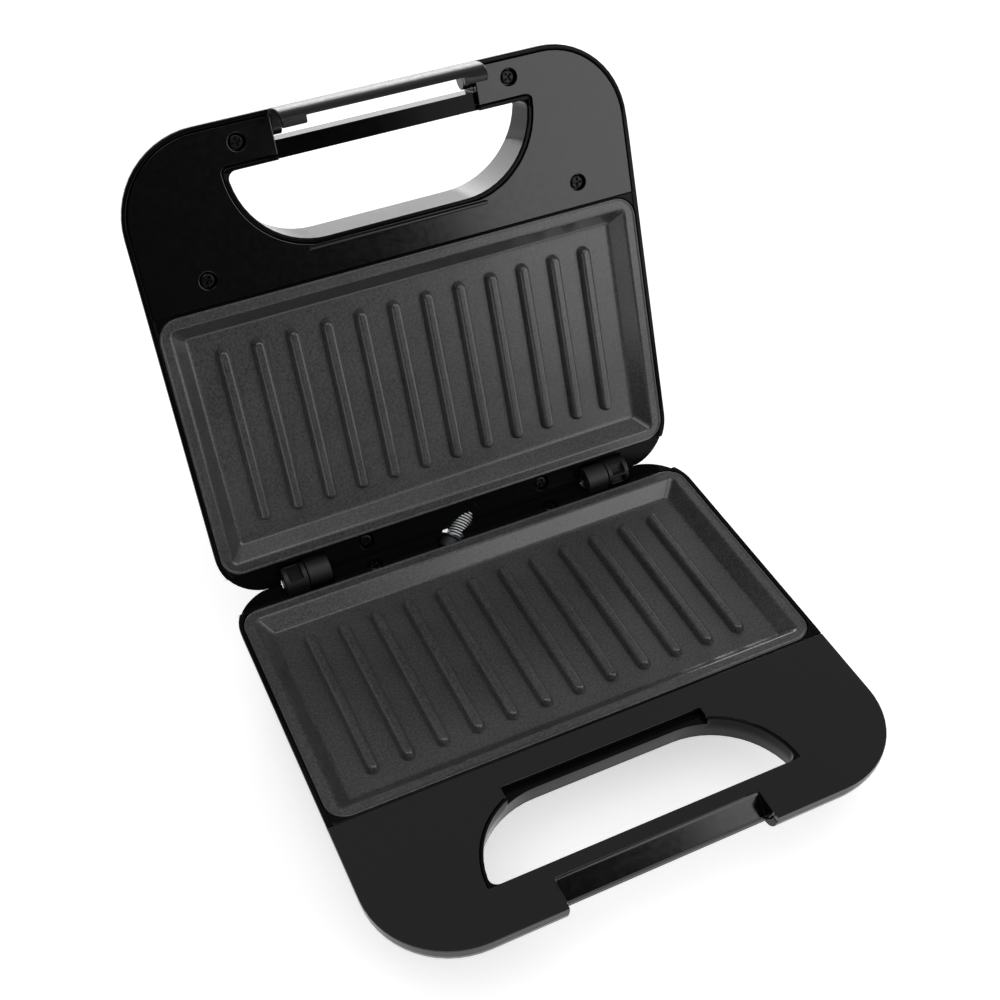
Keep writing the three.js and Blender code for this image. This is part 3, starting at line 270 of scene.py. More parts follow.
# The clip's plastic comes from an etched tool and gives softer, wider lights
clip_black = gloss_plastic("moulded_ABS_clip", ("#0b0b0c", "#0e0e0f"), 0.28, 0.36, 9, 0.02, IOR=1.45)
# The same plastic on the flat covers, polished to a softer gloss
cover_black = gloss_plastic("moulded_ABS_cover", ("#0a0a0b", "#0d0d0e"), 0.13, 0.2, 12, 0.015, IOR=1.53)
# Two-layer fluoropolymer coating on cast aluminium: dark grey satin with a sprayed grain.
# The real grain is a few tenths of a millimetre and is drawn coarser, so that it shows.
nonstick = new_finish(
    "nonstick_coating",
    ("#2b2b2b", "#4a4a4a"),
    cloud=(26, 3, 0.5),
    relief=(0.9, 3, 0.6),
    strength=0.6,
    depth=0.2,
    grain=(1, 2, 0.6),
    rough=(0.3, 0.46, 0.3, 0.7),
    speckled=True,
    IOR=1.45,
    Coat_Weight=0.8,
    Coat_Roughness=0.2,
)
# Glass-filled nylon: near black, dull, with a faint sandy skin
hinge_nylon = soft_plastic("glass_filled_nylon", ("#0a0a0c", "#0f0f11"), 0.5, 0.5)
# Black-oxide screws: dark metal that glints on its edges
screw_steel = fine_metal("black_oxide_steel", ("#242527", "#303134"), 0.3, 0.4)
# Stainless spring wire: pale, with a dull drawn skin
wire_steel = fine_metal("drawn_stainless_wire", ("#dcdee1", "#eceef0"), 0.5, 0.3)
# Mill-finish heater sheath, browned by heat
sheath = fine_metal("annealed_heater_sheath", ("#5d564e", "#77706a"), 0.45, 0.5)
# Aluminised sheet: pale grey with a soft spangle
aluminised = fine_metal("aluminised_sheet", ("#a3a7ac", "#b6babe"), 0.35, 1.2)
# Fired steatite: off-white, dry
steatite = soft_plastic("fired_steatite", ("#d9d4c8", "#e6e1d6"), 0.62, 0.3)
# Moulded rubber: black, matt and slightly dusty
foot_rubber = soft_plastic("moulded_rubber", ("#121212", "#1c1c1c"), 0.75, 0.4)
# Clear-tinted polycarbonate: glossy, with the colour coming from inside
red_lens = lens_plastic("tinted_polycarbonate_red", ("#7d0f0f", "#a31515"))
green_lens = lens_plastic("tinted_polycarbonate_green", ("#12602a", "#1a7c38"))


def paint(node_name, material):
    """Gives a CAD node its material."""
    for material_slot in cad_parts[node_name].material_slots:
        material_slot.material = material


# The pieces inside the housings keep their CAD forms
inner_materials = {
    "lower_heating_element": sheath,
    "upper_heating_element": sheath,
    "lower_heat_reflector": aluminised,
    "upper_heat_reflector": aluminised,
    "thermostat": steatite,
    "thermal_fuse": steatite,
    "terminal_block": steatite,
}
for node_name, material in inner_materials.items():
    paint(node_name, material)


# Modelling


def pick(piece):
    """Makes one piece the only selected and the active one."""
    if bpy.context.object and bpy.context.object.mode != "OBJECT":
        bpy.ops.object.mode_set(mode="OBJECT")
    bpy.ops.object.select_all(action="DESELECT")
    piece.select_set(True)
    bpy.context.view_layer.objects.active = piece


def start_edit(piece):
    """Opens a piece for editing, with all of it selected."""
    pick(piece)
    bpy.ops.object.mode_set(mode="EDIT")
    bpy.ops.mesh.select_mode(type="VERT")
    bpy.ops.mesh.select_all(action="SELECT")


def end_edit():
    """Closes the piece that is open."""
    bpy.ops.object.mode_set(mode="OBJECT")


def choose(piece, kind, test):
    """Selects, in edit mode, corners or edges whose ends pass the test, or faces whose middle does."""
    bpy.ops.mesh.select_mode(type=kind)
    bpy.ops.mesh.select_all(action="DESELECT")
    bpy.ops.object.mode_set(mode="OBJECT")
    mesh = piece.data
    if kind == "VERT":
        for vertex in mesh.vertices:
            vertex.select = test(vertex.co)
    elif kind == "EDGE":
        passes = [test(vertex.co) for vertex in mesh.vertices]
        for edge in mesh.edges:
            edge.select = all(passes[v] for v in edge.vertices)
    else:
        for face in mesh.polygons:
            face.select = test(face.center, face.normal)
    bpy.ops.object.mode_set(mode="EDIT")


def round_edges(piece, width, segments, test):
    """Rounds the sharp edges whose ends pass the test."""
    start_edit(piece)
    bpy.ops.mesh.select_mode(type="EDGE")
    bpy.ops.mesh.select_all(action="DESELECT")
    bpy.ops.mesh.edges_select_sharp(sharpness=math.radians(SHARP))
    end_edit()
    passes = [test(vertex.co) for vertex in piece.data.vertices]
    sharp = [edge for edge in piece.data.edges if edge.select]
    chosen = [edge.index for edge in sharp if all(passes[v] for v in edge.vertices)]
    bpy.ops.object.mode_set(mode="EDIT")
    bpy.ops.mesh.select_all(action="DESELECT")
    end_edit()
    for index in chosen:
        piece.data.edges[index].select = True
    bpy.ops.object.mode_set(mode="EDIT")
    bpy.ops.mesh.bevel(offset=width, segments=segments, affect="EDGES")
    end_edit()


def apply_modifier(piece, kind, **settings):
    """Adds a modifier with its settings and makes its result the piece's mesh."""
    pick(piece)
    made = piece.modifiers.new(kind.lower(), kind)
    for name, value in settings.items():
        setattr(made, name, value)
    bpy.ops.object.modifier_apply(modifier=made.name)


def combine(piece, operation, tools):
    """Joins, cuts or crosses a piece with each tool in turn."""
    for tool in tools:
        apply_modifier(piece, "BOOLEAN", object=tool, operation=operation, solver="MANIFOLD")


def carve(piece, *tools):
    """Cuts the tools out of a piece and throws them away."""
    combine(piece, "DIFFERENCE", tools)
    for tool in tools:
        bpy.data.objects.remove(tool)


def weld(piece, *tools):
    """Makes the tools one with a piece."""
    combine(piece, "UNION", tools)
    for tool in tools:
        bpy.data.objects.remove(tool)


def within(piece, form):
    """What of a piece lies in a form, which stays."""
    combine(piece, "INTERSECT", [form])
    return piece


def twin(piece, name):
    """A copy of a piece with its own mesh."""
    made = piece.copy()
    made.data = piece.data.copy()
    made.name = name
    bpy.context.scene.collection.objects.link(made)
    return made


def smooth(piece, angle=SHARP):
    """Smooth shading that keeps the flats flat."""
    pick(piece)
    bpy.ops.object.shade_smooth_by_angle(angle=math.radians(angle))
    apply_modifier(piece, "WEIGHTED_NORMAL", keep_sharp=True, weight=80)


def soften(piece, width, angle=SHARP, segments=2):
    """Rounds the edges of a piece as its mould does, once much shorter edges are closed up."""
    start_edit(piece)
    bpy.ops.mesh.remove_doubles(threshold=width * 0.15)
    bpy.ops.mesh.dissolve_degenerate(threshold=width * 0.05)
    end_edit()
    apply_modifier(
        piece,
        "BEVEL",
        width=width,
        segments=segments,
        limit_method="ANGLE",
        angle_limit=math.radians(angle),
        use_clamp_overlap=False,
        miter_outer="MITER_ARC",
    )


def place(piece, matrix):
    """Puts a piece that was made in millimetres where it belongs, with its place in its mesh."""
    pick(piece)
    piece.matrix_world = matrix @ piece.matrix_world
    bpy.ops.object.transform_apply(location=True, rotation=True, scale=True)


def finished(piece, material, body, node_name):
    """Gives a piece its material and its body and lets it stand for its CAD node."""
    piece.data.materials.clear()
    piece.data.materials.append(material)
    paint(node_name, material)
    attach(piece, body)
    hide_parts(node_name)


def copy_of(node_name, name):
    """A merged copy of a CAD node, with its flats made whole."""
    piece = bpy.data.objects.new(name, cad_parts[node_name].data.copy())
    bpy.context.scene.collection.objects.link(piece)
    start_edit(piece)
    bpy.ops.mesh.customdata_custom_splitnormals_clear()
    bpy.ops.mesh.remove_doubles(threshold=3e-6)
    bpy.ops.mesh.tris_convert_to_quads(face_threshold=math.radians(1), shape_threshold=math.radians(60))
    end_edit()
    return piece


# Forms. They are made in millimetres, in the frame of their half.


def panel(front, rear, half, front_radius, rear_radius, height, steps=CORNER_STEPS):
    """A flat face with round corners, from front to rear and half to each side."""
    bpy.ops.object.select_all(action="DESELECT")
    bpy.ops.mesh.primitive_plane_add(size=1)
    piece = bpy.context.object
    start_edit(piece)
    bpy.ops.transform.resize(value=(2 * half, front + rear, 1))
    bpy.ops.transform.translate(value=(0, (rear - front) / 2, height))
    for edge, radius in ((rear, rear_radius), (-front, front_radius)):
        if radius:
            choose(piece, "VERT", lambda co: abs(co.y - edge) < NEAR)
            bpy.ops.mesh.bevel(offset=radius, segments=steps, affect="VERTICES")
    end_edit()
    return piece


def hole_panel(grow, height):
    """The D-shaped finger hole as a flat face, widened by grow on every side."""
    front, radius, half = HOLE
    piece = panel(front + 2 * radius, radius - front + grow, half + grow, 0, radius + grow, height)
    start_edit(piece)
    bpy.ops.mesh.bisect(plane_co=(0, -front - grow, 0), plane_no=(0, 1, 0), clear_inner=True)
    choose(piece, "VERT", lambda co: abs(co.y + front + grow) < NEAR)
    bpy.ops.mesh.bevel(offset=HOLE_CORNER, segments=6, affect="VERTICES")
    end_edit()
    return piece


def stack(*panels):
    """One closed form through flat panels of equally many corners, each at its own height."""
    heights = [flat.data.vertices[0].co.z for flat in panels]
    piece = panels[0]
    pick(piece)
    for flat in panels:
        flat.select_set(True)
    bpy.ops.object.join()
    start_edit(piece)
    bpy.ops.mesh.delete(type="ONLY_FACE")
    for low, high in zip(heights, heights[1:]):
        choose(piece, "EDGE", lambda co: abs(co.z - low) < NEAR or abs(co.z - high) < NEAR)
        bpy.ops.mesh.bridge_edge_loops()
    for end in (heights[0], heights[-1]):
        choose(piece, "EDGE", lambda co: abs(co.z - end) < NEAR)
        bpy.ops.mesh.edge_face_add()
    bpy.ops.mesh.select_all(action="SELECT")
    bpy.ops.mesh.normals_make_consistent(inside=False)
    end_edit()
    return piece


def block(left, right, front, rear, low, high):
    """A box between its six sides."""
    bpy.ops.object.select_all(action="DESELECT")
    bpy.ops.mesh.primitive_cube_add(size=1)
    piece = bpy.context.object
    start_edit(piece)
    bpy.ops.transform.resize(value=(right - left, rear - front, abs(high - low)))
    bpy.ops.transform.translate(value=((left + right) / 2, (front + rear) / 2, (low + high) / 2))
    end_edit()
    return piece


def rod(start, end, radius, sides=32):
    """A round bar between two points."""
    start, end = Vector(start), Vector(end)
    bpy.ops.object.select_all(action="DESELECT")
    turn = (end - start).to_track_quat("Z", "Y").to_euler()
    bpy.ops.mesh.primitive_cylinder_add(
        vertices=sides,
        radius=radius,
        depth=(end - start).length,
        location=(start + end) / 2,
        rotation=turn,
    )
    piece = bpy.context.object
    bpy.ops.object.transform_apply(location=True, rotation=True, scale=True)
    return piece


def bar(section, left, right):
    """A bar along X whose section is drawn point by point, as y and z."""
    bpy.ops.object.select_all(action="DESELECT")
    bpy.ops.mesh.primitive_plane_add(size=1)
    piece = bpy.context.object
    start_edit(piece)
    bpy.ops.mesh.merge(type="CENTER")
    bpy.ops.transform.translate(value=(left, *section[0]))
    for (y, z), (next_y, next_z) in zip(section, section[1:]):
        bpy.ops.mesh.extrude_region_move(TRANSFORM_OT_translate={"value": (0, next_y - y, next_z - z)})
    bpy.ops.mesh.select_all(action="SELECT")
    bpy.ops.mesh.edge_face_add()
    bpy.ops.mesh.extrude_region_move(TRANSFORM_OT_translate={"value": (right - left, 0, 0)})
    bpy.ops.mesh.select_all(action="SELECT")
    bpy.ops.mesh.normals_make_consistent(inside=False)
    end_edit()
    return piece


def curve(t, a, b, c, d):
    """A smooth way from b to c that comes from a and goes on to d."""
    cubic = (3 * (b - c) + d - a) * t**3
    return b + ((c - a) * t + (2 * a - 5 * b + 4 * c - d) * t * t + cubic) / 2


def between(rows, steps):
    """Rows with smooth steps put in between them."""
    made = []
    for i in range(len(rows) - 1):
        around = [rows[max(i - 1, 0)], rows[i], rows[i + 1], rows[min(i + 2, len(rows) - 1)]]
        for step in range(steps):
            t = step / steps
            made.append([curve(t, *four) for four in zip(*around)])
    return [*made, list(rows[-1])]


def housing_form(side, rows, inset):
    """The outside of a housing or, inset by its wall, its open hollow."""
    flats = (panel(*(size - inset for size in sizes), side * (depth - inset)) for depth, *sizes in rows)
    return stack(*flats)


def layer(side, left, right, front, rear, near, far):
    """A block given by its depths under the rim plane of its half."""
    return block(left, right, front, rear, side * near, side * far)


def post(side, x, y, near, far, radius, sides=32):
    """A round post between two depths under the rim plane."""
    return rod((x, y, side * near), (x, y, side * far), radius, sides)


def plate_seat(shell, core, side):
    """Frame that carries the plate and, behind it, the strip that carries the hinges."""
    frame_band = layer(side, -FAR, FAR, -COVER_BEHIND, FAR, GAP, FLANGE_THICKNESS + GAP + SEAT)
    weld(frame_band, layer(side, -FAR, FAR, PLATE[1] / 2, FAR, *STRIP))
    within(frame_band, core)
    half, reach = PLATE[0] / 2 - FLANGE + SEAT_ROOM, PLATE[1] / 2 - FLANGE + SEAT_ROOM
    opening = stack(*(panel(reach, reach, half, SEAT_CORNER, SEAT_CORNER, side * z, 4) for z in (-2, 12)))
    carve(frame_band, opening)
    weld(shell, frame_band)
    half, reach, corner = PLATE[0] / 2 + GAP, PLATE[1] / 2 + GAP, PLATE_CORNER + GAP
    low, high = -side * OVERRUN, side * (FLANGE_THICKNESS + GAP)
    recess = stack(*(panel(reach, reach, half, corner, corner, z) for z in (low, high)))
    edge = REAR_REACH - 0.75
    section = [(edge, -0.5), (edge, STRIP[0]), (REAR_REACH + 2, 4.75), (REAR_REACH + 2, -0.5)]
    chamfer = bar([(y, side * depth) for y, depth in section], -FAR, FAR)
    carve(shell, recess, layer(side, -FAR, FAR, reach, FAR, -OVERRUN, STRIP[0]), chamfer)


def axis_depth(side):
    """How deep the hinge's axis lies under the rim plane of a half."""
    return -HINGE_RISE if side < 0 else HINGE_RISE - CLOSED_GAP


def hinge_cuts(shell, side):
    """Room for the knuckles and their arms, the conduit's bush and the rear screws."""
    axis = axis_depth(side)
    around = KNUCKLE + KNUCKLE_ROOM
    for x in (-HINGE_X, HINGE_X):
        carve(shell, layer(side, x - 11, x + 11, HINGE_BEHIND - around, FAR, -OVERRUN, axis + around))
        arm = x + side * 5.35
        front, rear = HINGE_BEHIND - 5.95, HINGE_BEHIND - 0.65
        carve(shell, layer(side, arm - 5.5, arm + 5.5, front, rear, -1, 17))
    for x in (-REAR_SCREW_X, REAR_SCREW_X):
        carve(shell, post(side, x, REAR_SCREW_Y, -1, 4.65, SCREW_HEAD + HEAD_ROOM))
        carve(shell, post(side, x, REAR_SCREW_Y, -1, 17, SCREW_SHANK + SHANK_ROOM, 16))
    if side < 0:
        mouth, inward = CONDUIT[0], -CONDUIT_WAY
    else:
        mouth, inward = TO_LID @ CONDUIT[1], TO_LID.to_3x3() @ CONDUIT_WAY
    carve(
        shell,
        rod(mouth - 3.6 * inward, mouth + 4 * inward, 6.23),
        rod(mouth + 2.8 * inward, mouth + 13 * inward, 7.63),
    )


def base_housing():
    """Lower housing: a thin handle round the finger hole in front, the bowl under the plate behind."""
    rows = [*between(HANDLE_ROWS, ROW_STEPS), *between(BOWL_ROWS, ROW_STEPS)]
    shell = housing_form(-1, rows, 0)
    core = housing_form(-1, rows, CORE)
    carve(shell, housing_form(-1, HANDLE_ROWS + BOWL_ROWS, WALL))
    plate_seat(shell, core, -1)
    seat = COVER + GAP
    tube = stack(hole_panel(HOLE_WALL, -seat), hole_panel(HOLE_WALL, -BELOW_BASE))
    lip = stack(hole_panel(HOLE_LIP, 0), hole_panel(HOLE_LIP, -4.2))
    carve(lip, block(-FAR, FAR, -FAR, -HOLE[0], -FAR, FAR))
    ledge = block(-REBATE - 2, REBATE + 2, -HOLE[0], -69, -5.4, -seat)
    weld(shell, within(tube, core), ledge)
    for x, y in BASE_SCREWS:
        weld(shell, within(post(-1, x, y, seat, 24.8, 4.6), core))
    carve(shell, block(-FAR, FAR, -FAR, GAP - COVER_BEHIND, -seat, OVERRUN))
    weld(shell, lip)
    widths = [(0, OVERRUN), (0, -3), (0.9, -8), (1.8, -12.4), (1.8, -BELOW_BASE)]
    carve(
        shell,
        stack(*(hole_panel(grow, z) for grow, z in widths)),
        block(-CUTOUT, CUTOUT, -FAR, GAP - SHELF_REAR, -BELOW_BASE, OVERRUN),
        block(-REBATE, REBATE, -HOLE[0], -REBATE_REAR, -seat, OVERRUN),
    )
    for x, y in BASE_SCREWS:
        carve(shell, post(-1, x, y, 9.25, BELOW_BASE, SCREW_HEAD + HEAD_ROOM))
    hinge_cuts(shell, -1)
    for x, y in FEET:
        carve(shell, post(-1, x, y, 20, BELOW_BASE, ROUND_HOLE))
    carve(shell, rod((0, 53, -GLAND_DEPTH), (0, FAR, -GLAND_DEPTH), 6.35))
    bpy.data.objects.remove(core)
    return shell


def base_cover():
    """Flat cover of the lower handle, with the ramp and shelf that the clip grips."""
    cover = stack(*(panel(FRONT, -COVER_BEHIND, HALF, FRONT_CORNER, 0, z) for z in (0, -COVER)))
    carve(cover, block(-CUTOUT, CUTOUT, -FAR, RAMP_TOP, -20, OVERRUN))
    shelf = [(RAMP_FOOT[0], -11), (-118.3, -11), (-SHELF_REAR, -COVER)]
    section = [(-SHELF_REAR, 0), (RAMP_TOP, 0), RAMP_FOOT, *shelf]
    ramp = bar(section, GAP - CUTOUT, CUTOUT - GAP)
    start_edit(ramp)
    for (y, z), width, segments in (((RAMP_TOP, 0), 1.6, 6), (RAMP_FOOT, 0.9, 4)):
        choose(ramp, "EDGE", lambda co: abs(co.y - y) < NEAR and abs(co.z - z) < NEAR)
        bpy.ops.mesh.bevel(offset=width, segments=segments, affect="EDGES")
    end_edit()
    weld(cover, ramp)
    inside = housing_form(-1, HANDLE_ROWS, WALL + GAP)
    for way in (-1, 1):
        cheek = block(*sorted((way * (CUTOUT - GAP), way * (CUTOUT + 1.8))), -FRONT, -SHELF_REAR, -12.4, 0)
        weld(cover, within(cheek, inside))
    bpy.data.objects.remove(inside)
    hole = stack(hole_panel(0, -20), hole_panel(0, OVERRUN))
    lip = stack(hole_panel(HOLE_LIP + GAP, -20), hole_panel(HOLE_LIP + GAP, OVERRUN))
    carve(lip, block(-FAR, FAR, -FAR, -HOLE[0], -FAR, FAR))
    carve(cover, hole, lip, block(-REBATE, REBATE, -HOLE[0], -REBATE_REAR, -20, OVERRUN))
    return cover


def lid_housing():
    """Upper housing: a dome whose edge stands up round the inner cover."""
    rows = between(DOME_ROWS, ROW_STEPS)
    shell = housing_form(1, rows, 0)
    core = housing_form(1, rows, CORE)
    carve(shell, housing_form(1, DOME_ROWS, WALL))
    plate_seat(shell, core, 1)
    seat = INNER_COVER + GAP
    slot_rear = CUTOUT_DEPTH - FRONT
    tube = stack(hole_panel(2, 0), hole_panel(2, ABOVE_LID))
    bridge = block(-CUTOUT - WALL, CUTOUT + WALL, slot_rear, -HOLE[0], seat, ABOVE_LID)
    weld(shell, within(tube, core), within(bridge, core))
    for way in (-1, 1):
        end = block(*sorted((way * CUTOUT, way * (CUTOUT + WALL))), -FAR, slot_rear, seat, ABOVE_LID)
        weld(shell, within(end, core))
    for x, y in LID_SCREWS:
        weld(shell, within(post(1, x, y, CUP[1], ABOVE_LID, 6.8), core))
    sizes = (FRONT - RIM, REAR_REACH, HALF - RIM, FRONT_CORNER - RIM, REAR_CORNER)
    cover_space = stack(*(panel(*sizes, z) for z in (-OVERRUN, seat)))
    carve(
        cover_space,
        block(-FAR, FAR, GAP - COVER_BEHIND, FAR, -4, ABOVE_LID),
        stack(hole_panel(2, -4), hole_panel(2, ABOVE_LID)),
    )
    carve(
        shell,
        stack(hole_panel(0, -OVERRUN), hole_panel(0, ABOVE_LID + OVERRUN)),
        block(-CUTOUT, CUTOUT, -FAR, slot_rear, -OVERRUN, ABOVE_LID),
        block(-CUTOUT, CUTOUT, slot_rear - 2, -HOLE[0], -OVERRUN, seat),
        cover_space,
        rod((-50, *TRUNNION), (50, *TRUNNION), TRUNNION_RADIUS + TRUNNION_ROOM, 24),
    )
    for x, y in LID_SCREWS:
        carve(shell, post(1, x, y, -OVERRUN, CUP[1] + GAP, CUP[0] + GAP))
        carve(shell, post(1, x, y, 0, 13, SCREW_SHANK + SHANK_ROOM, 16))
    for x, y in LENS_PLACES:
        carve(shell, post(1, x, y, 17, ABOVE_LID + OVERRUN, ROUND_HOLE))
    round_edges(shell, 0.8, 5, lambda co: abs(co.z) < NEAR and co.y < -60)
    hinge_cuts(shell, 1)
    bpy.data.objects.remove(core)
    return shell


def lid_cover():
    """Inner cover of the lid's handle, with four cups for its screws and a tongue behind the hole."""
    inset = RIM + GAP
    sizes = (FRONT - inset, -COVER_BEHIND, HALF - inset, FRONT_CORNER - inset, 0)
    cover = stack(*(panel(*sizes, z) for z in (0, INNER_COVER)))
    hole = stack(hole_panel(2 + GAP, -OVERRUN), hole_panel(2 + GAP, ABOVE_LID))
    carve(cover, hole, block(-CUTOUT, CUTOUT, -FAR, -HOLE[0], -OVERRUN, ABOVE_LID))
    tongue = block(-40, 40, -72.6, -71, -1.6, INNER_COVER)
    start_edit(tongue)
    choose(tongue, "EDGE", lambda co: abs(co.z + 1.6) < NEAR)
    bpy.ops.mesh.bevel(offset=0.75, segments=5, affect="EDGES")
    end_edit()
    weld(cover, tongue)
    for x, y in LID_SCREWS:
        weld(cover, post(1, x, y, 1.2, CUP[1], CUP[0]))
        carve(cover, post(1, x, y, -OVERRUN, 3.15, SCREW_HEAD + HEAD_ROOM))
        carve(cover, post(1, x, y, -OVERRUN, ABOVE_LID, SCREW_SHANK + SHANK_ROOM, 16))
    return cover


shells = [
    (base_housing, housing_black, "gloss_black", "base", 0.3, "base_shell"),
    (base_cover, cover_black, "cover_black", "base", 0.4, "base_handle_cover"),
    (lid_housing, housing_black, "gloss_black", "lid", 0.3, "lid_outer_cover"),
    (lid_cover, cover_black, "cover_black", "lid", 0.4, "lid_handle_cover"),
]
for make, material, slot_name, body, width, node_name in shells:
    piece = make()
    piece.name = make.__name__
    soften(piece, width)
    smooth(piece)
    place(piece, HALVES[body])
    finished(piece, material, body, node_name)


# The clip's section: down its outside from top to hook and back up its inside
CLIP_SECTION = [
    (-126.6, 8.1), (-127.5, 7.6), (-128.2, 6.2), (-128.7, 3.6), (-129.2, 0.4), (-129.6, -2.8),
    (-129.8, -6), (-129.8, -9), (-129.5, -11.8), (-128.8, -14.2), (-127.6, -16), (-126, -16.9),
    (-124.4, -17), (-123.3, -16.5), (-122.9, -15.6), (-122.9, -14.5), (-125, -14.4), (-126.3, -13.9),
    (-127.1, -12.7), (-127.4, -10.5), (-127.4, -6), (-127.1, -2), (-126.7, 1.5), (-126.2, 4.5),
    (-125.8, 6.6), (-125.9, 7.7),
]


def clip():
    """Clip: a springy strip with a hook at each end and two ears with their trunnions."""
    strip = bar(CLIP_SECTION, -CLIP_HALF, CLIP_HALF)
    carve(strip, block(-33.1, 33.1, -126, -116, -19, -14))
    for way in (-1, 1):
        near, far = sorted((way * (CLIP_HALF - 4), way * CLIP_HALF))
        ear = rod((near, *TRUNNION), (far, *TRUNNION), 4.2, 40)
        web = bar([(TRUNNION[0], 8.1), (-126.2, 8.1), (-128, 1.8), (TRUNNION[0], 1.8)], near, far)
        trunnion = rod((way * 40, *TRUNNION), (way * 45.3, *TRUNNION), TRUNNION_RADIUS, 24)
        weld(strip, ear, web, trunnion)
    return strip


piece = clip()
piece.name = "clip"
soften(piece, 0.35, 40, 3)
smooth(piece, 40)
place(piece, LID)
finished(piece, clip_black, "clip", "closing_clip")


def rib_form():
    """One rib: a bar with round ends and a round crown."""
    reach = RIB_LENGTH / 2 + 0.2
    piece = panel(reach, reach, 3, 2.99, 2.99, 0, 8)
    start_edit(piece)
    bpy.ops.mesh.remove_doubles(threshold=0.05)
    bpy.ops.mesh.extrude_region_move(TRANSFORM_OT_translate={"value": (0, 0, 0.3)})
    choose(piece, "FACE", lambda centre, normal: centre.z > 0.2 and normal.z > 0.9)
    crown = [(0.12, 0.7), (0.18, 0.8), (0.26, 0.7), (0.38, 0.58), (0.42, 0.34), (0.46, 0.14), (0.4, 0.04)]
    for run, rise in crown:
        bpy.ops.mesh.inset(thickness=run, depth=rise)
    end_edit()
    return piece


def plate_form():
    """Plate: a flange with a rolled edge round a shallow pan with mitred corners.

    Each ring is given by its inset from the plate's outline, its corner radius and its height.
    """
    rings = [
        (FLANGE + WALL_RUN, 1.7, -PAN_DEPTH - 2.2),
        (FLANGE - 2.2, 5, -2.25),
        (0, PLATE_CORNER, -FLANGE_THICKNESS),
        (0, PLATE_CORNER, -0.45),
        (0.14, PLATE_CORNER - 0.14, -0.15),
        (0.45, PLATE_CORNER - 0.45, 0),
        (0.85, PLATE_CORNER - 0.85, -0.04),
        (1.15, PLATE_CORNER - 1.15, -0.3),
        (FLANGE - 1.1, 3.2, -0.32),
        (FLANGE - 0.3, 2.4, -0.52),
        (FLANGE + 0.5, 2, -1.1),
        (FLANGE + WALL_RUN - 1.3, 1.7, -6.1),
        (FLANGE + WALL_RUN - 0.4, 1.7, -6.8),
        (FLANGE + WALL_RUN + 0.9, 1.7, -PAN_DEPTH),
    ]
    x, y = PLATE[0] / 2, PLATE[1] / 2
    flats = (panel(y - inset, y - inset, x - inset, corner, corner, z, 8) for inset, corner, z in rings)
    return stack(*flats)


plate = plate_form()
rib = rib_form()
for i in range(RIB_COUNT):
    one = twin(rib, "rib_" + str(i))
    place(one, Matrix.Translation(((i - (RIB_COUNT - 1) / 2) * RIB_PITCH, 0, -PAN_DEPTH - 0.25)))
    weld(plate, one)
bpy.data.objects.remove(rib)
plate.name = "lower_plate"
smooth(plate, 40)
upper = twin(plate, "upper_plate")
place(plate, BASE)
place(upper, LID @ Matrix.Rotation(math.pi, 4, "Y"))
finished(plate, nonstick, "base", "lower_grill_plate")
finished(upper, nonstick, "lid", "upper_grill_plate")


def conduit():
    """Wound steel conduit round the wires, from curl to curl along its line."""
    bpy.ops.object.select_all(action="DESELECT")
    bpy.ops.mesh.primitive_circle_add(
        vertices=8,
        radius=COIL_WIRE / 2,
        location=(COIL_RADIUS, 0, 0),
        rotation=(math.pi / 2, 0, 0),
    )
    piece = bpy.context.object
    bpy.ops.object.transform_apply(location=True, rotation=True, scale=True)
    apply_modifier(
        piece,
        "SCREW",
        angle=2 * math.pi,
        screw_offset=COIL_PITCH,
        iterations=COIL_CURLS,
        steps=40,
        render_steps=40,
        axis="Z",
        use_smooth_shade=True,
        use_normal_calculate=True,
    )
    start_edit(piece)
    bpy.ops.mesh.remove_doubles(threshold=0.0005)
    bpy.ops.mesh.select_mode(type="EDGE")
    bpy.ops.mesh.select_all(action="DESELECT")
    bpy.ops.mesh.select_non_manifold()
    bpy.ops.mesh.edge_face_add()
    bpy.ops.mesh.select_all(action="SELECT")
    bpy.ops.mesh.normals_make_consistent(inside=False)
    end_edit()
    along = CONDUIT_WAY.to_track_quat("Z", "Y").to_matrix().to_4x4()
    place(piece, BASE @ Matrix.Translation(CONDUIT[0] - CONDUIT_SEAT * CONDUIT_WAY) @ along)
    return piece


coil = conduit()
coil.name = "conduit"
coil.data.materials.append(wire_steel)
paint("wiring_conduit", wire_steel)
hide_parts("wiring_conduit")
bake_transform(coil)


def knuckle(side, left):
    """A hinge knuckle round the pin with the arm that holds it in its half."""
    axis = (HINGE_BEHIND, side * axis_depth(side))
    right = left + KNUCKLE_LENGTH
    barrel = rod((left, *axis), (right, *axis), KNUCKLE, 48)
    arm = block(left, right, HINGE_BEHIND - 5.6, HINGE_BEHIND - 1, *sorted((axis[1], side * 15)))
    weld(barrel, arm)
    carve(barrel, rod((left - 1, *axis), (left + 12, *axis), 2.35, 32))
    return barrel


